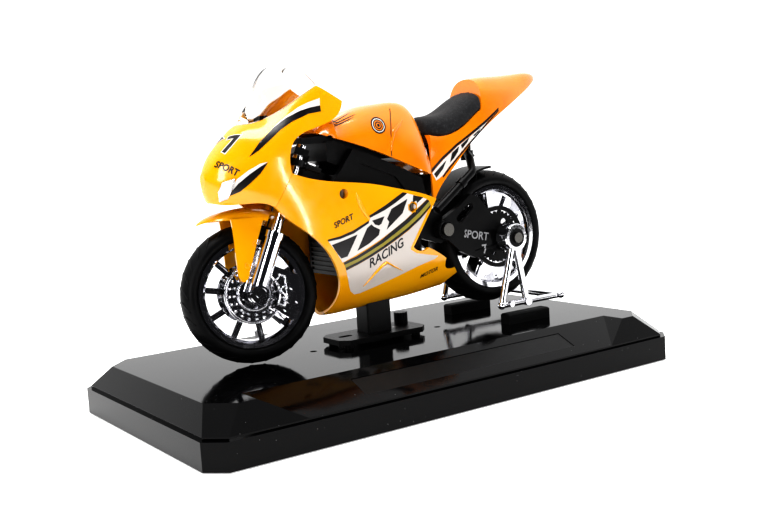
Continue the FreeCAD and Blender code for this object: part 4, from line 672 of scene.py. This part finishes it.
TAIL_TOP = [[(49.4, -4.6), (51.4, -4.6), (51.4, -3.9), (49.4, -3.9)],
            [(56.4, -3.2), (58.6, -3.2), (58.6, 3.2), (56.4, 3.2)],
            [(61.0, -3.6), (62.0, -3.6), (62.0, 3.6), (61.0, 3.6)]]
PRINT["black"].append(pressed(filled(TAIL_TOP), TOP_VIEW, TAIL_SKIN[0], 0.06))
for ink, parts in PRINT.items():
    if parts:
        piece(f"printed_{ink}", parts, INKS[ink], CHASSIS)

# ------------------------------------------------------------ raised details of the bodywork
CHROME = FINISHES["chrome_plating"]
LENS = clear_styrene("lens_styrene_polished")
LENS.node_tree.nodes["Principled BSDF"].inputs["Transmission Weight"].default_value = 0.3
left_nose = [(-63.7, 74.5), (-62.6, 77.3), (-59.4, 78.3), (-60.3, 75.5), (-61.4, 72.5), (-63.3, 71.7)]
lenses = [plate(outline, view, skin, 0.7) for outline, view, skin in
          ((left_nose, LEFT_SIDE, SHELL[0]), (flipped([left_nose])[0], RIGHT_SIDE, SHELL[1]))]
piece("head_lenses", lenses, LENS, CHASSIS, smooth=False)
bezels = [m for view, skin, turn in ((LEFT_SIDE, SHELL[0], 1), (RIGHT_SIDE, SHELL[1], -1))
          for m in ridges([[(turn * x, z) for x, z in left_nose]], view, skin, 0.45, 0.85, closed=True)]
piece("head_lens_bezels", bezels, CHROME, CHASSIS)

DUCT = [(-14.9, 38.9), (-11.6, 42.7), (-9.1, 44.8), (-7.3, 45.5), (-3.9, 43.6), (-0.2, 41.7), (-5.1, 41.1),
        (-10.1, 40.0)]


def duct_lift(co):
    """High at the scoop's front edge and flush at its tip."""
    return 0.12 + 1.1 * max(0.0, min(1.0, 1 - (abs(co.x + 8.5) - 1.0) / 8.5)) * max(0.0,
                                                                                    min(1.0,
                                                                                        (co.y - 39.4) / 5.0))


ducts = [plate(DUCT, LEFT_SIDE, SHELL[0], duct_lift),
         plate(flipped([DUCT])[0], RIGHT_SIDE, SHELL[1], lambda co: duct_lift(Vector((-co.x, co.y, 0))))]
piece("side_duct_lids", ducts, INKS["panel"], CHASSIS, smooth=False)
SIDES = ((LEFT_SIDE, 0, 1), (RIGHT_SIDE, 1, -1))


def mirrored(paths, turn):
    return [[(turn * a, b) for a, b in path] for path in paths]


creases = []
for view, which, turn in SIDES:
    creases += ridges(mirrored([[(-15.6, 38.4), (-11.9, 42.6), (-9.2, 45.0), (-7.3, 46.0), (-3.9, 44.1),
                                 (0.4, 41.9)]], turn),
                      view, SHELL[which], 0.7, 0.9, taper=True)
    creases += ridges(mirrored([[(-18.3, 70.9), (-17.7, 69.0), (-16.3, 65.5), (-14.7, 62.8), (-13.4, 61.0)]],
                               turn),
                      view, SHELL[which], 1.5, 0.32, taper=True)
piece("fairing_creases", creases, YELLOW, CHASSIS)
tank_ribs = []
for view, which, turn in SIDES:
    tank_ribs += ridges(mirrored([[(6.2, 93.7), (3.6, 91.8), (1.1, 90.0), (-0.4, 86.6), (-0.9, 83.3)]], turn),
                        view, TANK_SKIN[0], 1.3, 0.3, taper=True)
piece("tank_creases", tank_ribs, ORANGE, CHASSIS)
SEAM = stroke([(2.8, 97.8), (1.1, 94.0), (-0.1, 89.6), (-0.7, 83.3), (-0.6, 77.0)],
              [(2.5, 97.8), (0.8, 94.0), (-0.4, 89.6), (-1.0, 83.3), (-0.9, 77.0)])
VENTS = [((-22.8, -7.4, 95.8), (-17.4, -6.1, 96.8), (-12.0, -4.4, 97.3)),
         ((-23.7, -8.4, 94.8), (-17.4, -7.6, 95.9), (-10.9, -6.3, 96.6)),
         ((-23.5, -8.8, 93.8), (-17.6, -8.2, 94.8), (-12.2, -7.0, 95.6))]
vents = [ridge(seated(divided([(x, side * -y, z) for x, y, z in line], 0.6), TANK_SKIN[0]), 0.5, 0.08,
               taper=True)
         for side in (-1, 1) for line in VENTS]
piece("tank_prints", both_flanks([SEAM], TANK_SKIN, 0.07, 0.6) + vents, INKS["black"], CHASSIS)

FENDER_SKIN = surface("front_fender")
dimples = [(-53.0, 57.1), (-56.4, 50.3)]
studs = []
for x, z in dimples:
    ring = [(x + 0.8 * math.cos(a), z + 0.8 * math.sin(a)) for a in (math.tau * i / 14 for i in range(14))]
    studs += ridges([ring], LEFT_SIDE, FENDER_SKIN, 0.4, 0.22, closed=True, step=2.0)
piece("fender_studs", studs, YELLOW, "fork")

# ------------------------------------------------------------ wheels, discs and hubs
FRONT_R, REAR_R = 22.8, 24.8
FRONT_WIDTH, REAR_WIDTH = 9.2, 13.4
FRONT_BEAD, REAR_BEAD = (16.3, 3.9, 0.28), (17.6, 5.3, 0.3)     # radius, distance from the middle, thickness
DISC_FACE = 6.45                                                # from the wheel's middle plane to a disc's face
DISC_RINGS = ((9.3, 0.3), (5.3, 0.28))                          # radius, thickness
DISC_BOSSES = ((20, 8.2, 0.5), (16, 6.7, 0.42))                 # count, radius of the ring, size of a boss
PIVOT_RING = 2.9


def tread_bar(radius, width, place, node, side, lean, reach=0.86, count=9):
    """One raised tread bar that runs from near the middle over the shoulder, on the tyre's own surface."""
    skin = surface(node)
    back = place.inverted()
    spine = []
    for i in range(count):
        t = i / (count - 1)
        turn = lean * t - 0.05 * math.sin(math.pi * t)
        y = side * width / 2 * (0.10 + (reach - 0.10) * t)
        outer = place @ Vector((radius * 1.5 * math.cos(turn), y, radius * 1.5 * math.sin(turn)))
        inner = place @ Vector((0, y, 0))
        hit, normal, _, _ = skin.ray_cast(outer, (inner - outer).normalized())
        if hit is None:
            break
        if normal.dot(outer - inner) < 0:
            normal = -normal
        spine.append((back @ hit, (back.to_3x3() @ normal).normalized()))
    return ridge(spine, 0.8, 0.22, taper=True)


for name, body, node, place, radius, width, count in (
        ("front_tread", "front_wheel", "front_tyre", FRONT_WHEEL, FRONT_R, FRONT_WIDTH, 30),
        ("rear_tread", "rear_wheel", "rear_tyre", REAR_WHEEL, REAR_R, REAR_WIDTH, 32)):
    bars = [tread_bar(radius, width, place, node, -1, 0.17), tread_bar(radius, width, place, node, 1, 0.17)]
    around(name, bars, count, FINISHES["tyre_rubber"], body, place)


def ring_bead(radius, y, thick):
    """A rounded ring about the axle."""
    return lathed([(radius + thick * math.cos(a),
                    y + thick * math.sin(a)) for a in (math.tau * i / 8 for i in range(8))], 72)


def dome(radius, y, size, tall, side):
    """A low round boss on a disc's face."""
    rows = [(0, 1.0), (0.5, 0.85), (0.85, 0.45), (1.0, -0.4)]
    mesh = bmesh.new()
    rings = []
    for share, height in rows:
        if share == 0:
            rings.append([mesh.verts.new((radius, y + side * tall, 0))])
        else:
            rings.append([mesh.verts.new((radius + size * share * math.cos(math.tau * i / 8),
                                          y + side * tall * height,
                                          size * share * math.sin(math.tau * i / 8))) for i in range(8)])
    for one, other in zip(rings, rings[1:]):
        for i in range(8):
            k = (i + 1) % 8
            mesh.faces.new(list(dict.fromkeys([one[i % len(one)], one[k % len(one)], other[k], other[i]])))
    mesh.faces.new(rings[-1])
    bmesh.ops.recalc_face_normals(mesh, faces=mesh.faces)
    return taken(mesh)


rim_beads = [ring_bead(FRONT_BEAD[0], side * FRONT_BEAD[1], FRONT_BEAD[2]) for side in (-1, 1)]
piece("front_rim_beads", rim_beads, CHROME, "front_wheel", place=FRONT_WHEEL)
rear_beads = [ring_bead(REAR_BEAD[0], side * REAR_BEAD[1], REAR_BEAD[2]) for side in (-1, 1)]
piece("rear_rim_beads", rear_beads, CHROME, "rear_wheel", place=REAR_WHEEL)

rings = []
for side in (-1, 1):
    face = side * DISC_FACE
    rings += [ring_bead(r, face, t) for r, t in DISC_RINGS]
    for count, radius, size in DISC_BOSSES:
        around(f"front_disc_bosses_{'left' if side < 0 else 'right'}_{count}",
               [dome(radius, face, size, 0.35, side)], count, CHROME,
               "front_wheel", FRONT_WHEEL)
piece("front_disc_rings", rings, CHROME, "front_wheel", place=FRONT_WHEEL)

CALIPER = surface("front_caliper_left"), surface("front_caliper_right")
fans = []
for which, side in ((0, -1), (1, 1)):
    out = Vector(STEER_TURN.to_3x3() @ Vector((0, side, 0)))
    right = Vector(STEER_TURN.to_3x3() @ Vector((-side, 0, 0)))
    view = FRONT_HUB + out * 6, right, Vector((0, 0, 1))
    flip = -side
    fan = [(flip * a, b) for a, b in ((4.6, 1.2), (8.0, 5.6), (9.6, 5.0), (9.8, -0.4), (8.6, -4.6),
                                      (4.8, -2.2))]
    fans += ridges([fan], view, CALIPER[which], 0.7, 0.5, closed=True)
    fans += ridges([[(flip * 5.2, -0.4), (flip * 9.2, 1.8)]], view, CALIPER[which], 0.5, 0.4)
piece("caliper_frames", fans, CHROME, "fork")

ARM = surface("swing_arm_left")
oval = [(29.9 + 3.6 * math.cos(a) * 0.74 - 1.5 * math.sin(a) * 0.67,
         59.3 + 3.6 * math.cos(a) * 0.67 + 1.5 * math.sin(a) * 0.74)
        for a in (math.tau * i / 28 for i in range(28))]
pivot_ring = [(PIVOT.x + PIVOT_RING * math.cos(a), PIVOT.z + PIVOT_RING * math.sin(a))
              for a in (math.tau * i / 32 for i in range(32))]
arm_ribs = [rib for path, width in ((oval, 0.6), (pivot_ring, 0.5))
            for rib in ridges([path], LEFT_SIDE, ARM, width, 0.4, closed=True)]
piece("swing_arm_ribs", arm_ribs, SATIN_BLACK, "swing_arm")
arm_words = [pressed(lettering("SPORT", 2.9, 0.07, 0.0, 0.8),
                     (Vector((34.8, 0, 50.5)), Vector((14.5, 0, -3.1)).normalized(),
                     Vector((3.1, 0, 14.5)).normalized()), ARM, 0.2),
             pressed(lettering("7", 3.2, 0.12, 0.0, 0.8), (Vector((38.4, 0, 45.0)), Vector((1, 0, 0)),
                                                           Vector((0, 0, 1))), ARM, 0.2)]
piece("swing_arm_print", arm_words, INKS["grey"], "swing_arm")


def soft_seat():
    """The pad's moulded form, its edges rounded over and its top gently crowned."""
    source = NODES["seat_pad"].data.copy()
    start = bpy.data.objects.new("seat_start", source)
    bpy.context.scene.collection.objects.link(start)
    voxels = start.modifiers.new("even", "REMESH")
    voxels.mode, voxels.voxel_size = "VOXEL", 0.00045
    soften = start.modifiers.new("soften", "SMOOTH")
    soften.factor, soften.iterations = 0.5, 14
    bpy.context.view_layer.update()
    mesh = bpy.data.meshes.new_from_object(start.evaluated_get(bpy.context.evaluated_depsgraph_get()))
    start.modifiers.clear()
    bpy.data.objects.remove(start)
    pad = adopt("seat_cushion", mesh, FINISHES["seat_plastic"], CHASSIS)
    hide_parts("seat_pad")


soft_seat()

# ------------------------------------------------------------ camera, light and floor
def camera():
    yaw, pitch, roll = math.radians(34.402), math.radians(7.274), math.radians(-3.629)
    forward = Vector((math.sin(yaw) * math.cos(pitch), math.cos(yaw) * math.cos(pitch), -math.sin(pitch)))
    right = Vector((math.cos(yaw), -math.sin(yaw), 0))
    up = right.cross(forward)
    across = math.cos(roll) * right + math.sin(roll) * up
    upward = -math.sin(roll) * right + math.cos(roll) * up
    data = bpy.data.cameras.new("camera")
    data.sensor_width = 36
    data.lens = 49.19
    data.clip_start = 0.01
    rig = bpy.data.objects.new("camera", data)
    turn = Matrix((across, upward, -forward)).transposed().to_4x4()
    rig.matrix_world = Matrix.Translation(Vector((-207.70, -302.34, 89.63)) * MM) @ turn
    bpy.context.scene.collection.objects.link(rig)
    bpy.context.scene.camera = rig


def area_light(name, place, target, size, watts):
    data = bpy.data.lights.new(name, "AREA")
    data.shape = "RECTANGLE"
    data.size, data.size_y = size
    data.energy = watts
    lamp = bpy.data.objects.new(name, data)
    place, target = Vector(place), Vector(target)
    lamp.matrix_world = Matrix.Translation(place) @ (target - place).to_track_quat("-Z",
                                                                                   "Y").to_matrix().to_4x4()
    bpy.context.scene.collection.objects.link(lamp)


def studio():
    """A white sweep behind and overhead, and a dark room in front, as the plating shows it."""
    world = bpy.data.worlds.new("studio")
    world.use_nodes = True
    tree = world.node_tree
    toward = add(tree, "ShaderNodeVectorMath", {0: add(tree, "ShaderNodeTexCoord").outputs["Generated"],
                                                1: (0.50, 0.74, 0.45)},
                                                operation="DOT_PRODUCT").outputs["Value"]
    sweep = stretch(tree, toward, -0.2, 0.25, 0.0, 1.0)
    colour = blend_hues(tree, sweep, hue("262628"), hue("FFFFFF"))
    tree.links.new(colour, tree.nodes["Background"].inputs["Color"])
    tree.nodes["Background"].inputs["Strength"].default_value = 1.0
    bpy.context.scene.world = world
    area_light("overhead", (-0.10, -0.12, 0.6), (0, 0, 0.05), (0.40, 0.25), 2.4)
    area_light("side", (-0.62, -0.40, 0.30), (-0.02, 0, 0.06), (0.14, 0.36), 1.5)
    area_light("strip", (0.22, -0.70, 0.12), (-0.02, 0, 0.05), (0.03, 0.30), 0.5)
    mesh = bpy.data.meshes.new("floor")
    mesh.from_pydata([(-4, -0.36, 0), (4, -0.36, 0), (4, 6, 0), (-4, 6, 0)], [], [(0, 1, 2, 3)])
    floor = bpy.data.objects.new("floor", mesh)
    bpy.context.scene.collection.objects.link(floor)
    paper = finish("white_card", Roughness=0.9, Base_Color=hue("FFFFFF"), Emission_Color=hue("FFFFFF"),
                   Emission_Strength=0.35)[0]
    mesh.materials.append(paper)
    bpy.context.scene.view_settings.view_transform = "Standard"
    bpy.context.scene.view_settings.look = "High Contrast"


camera()
studio()
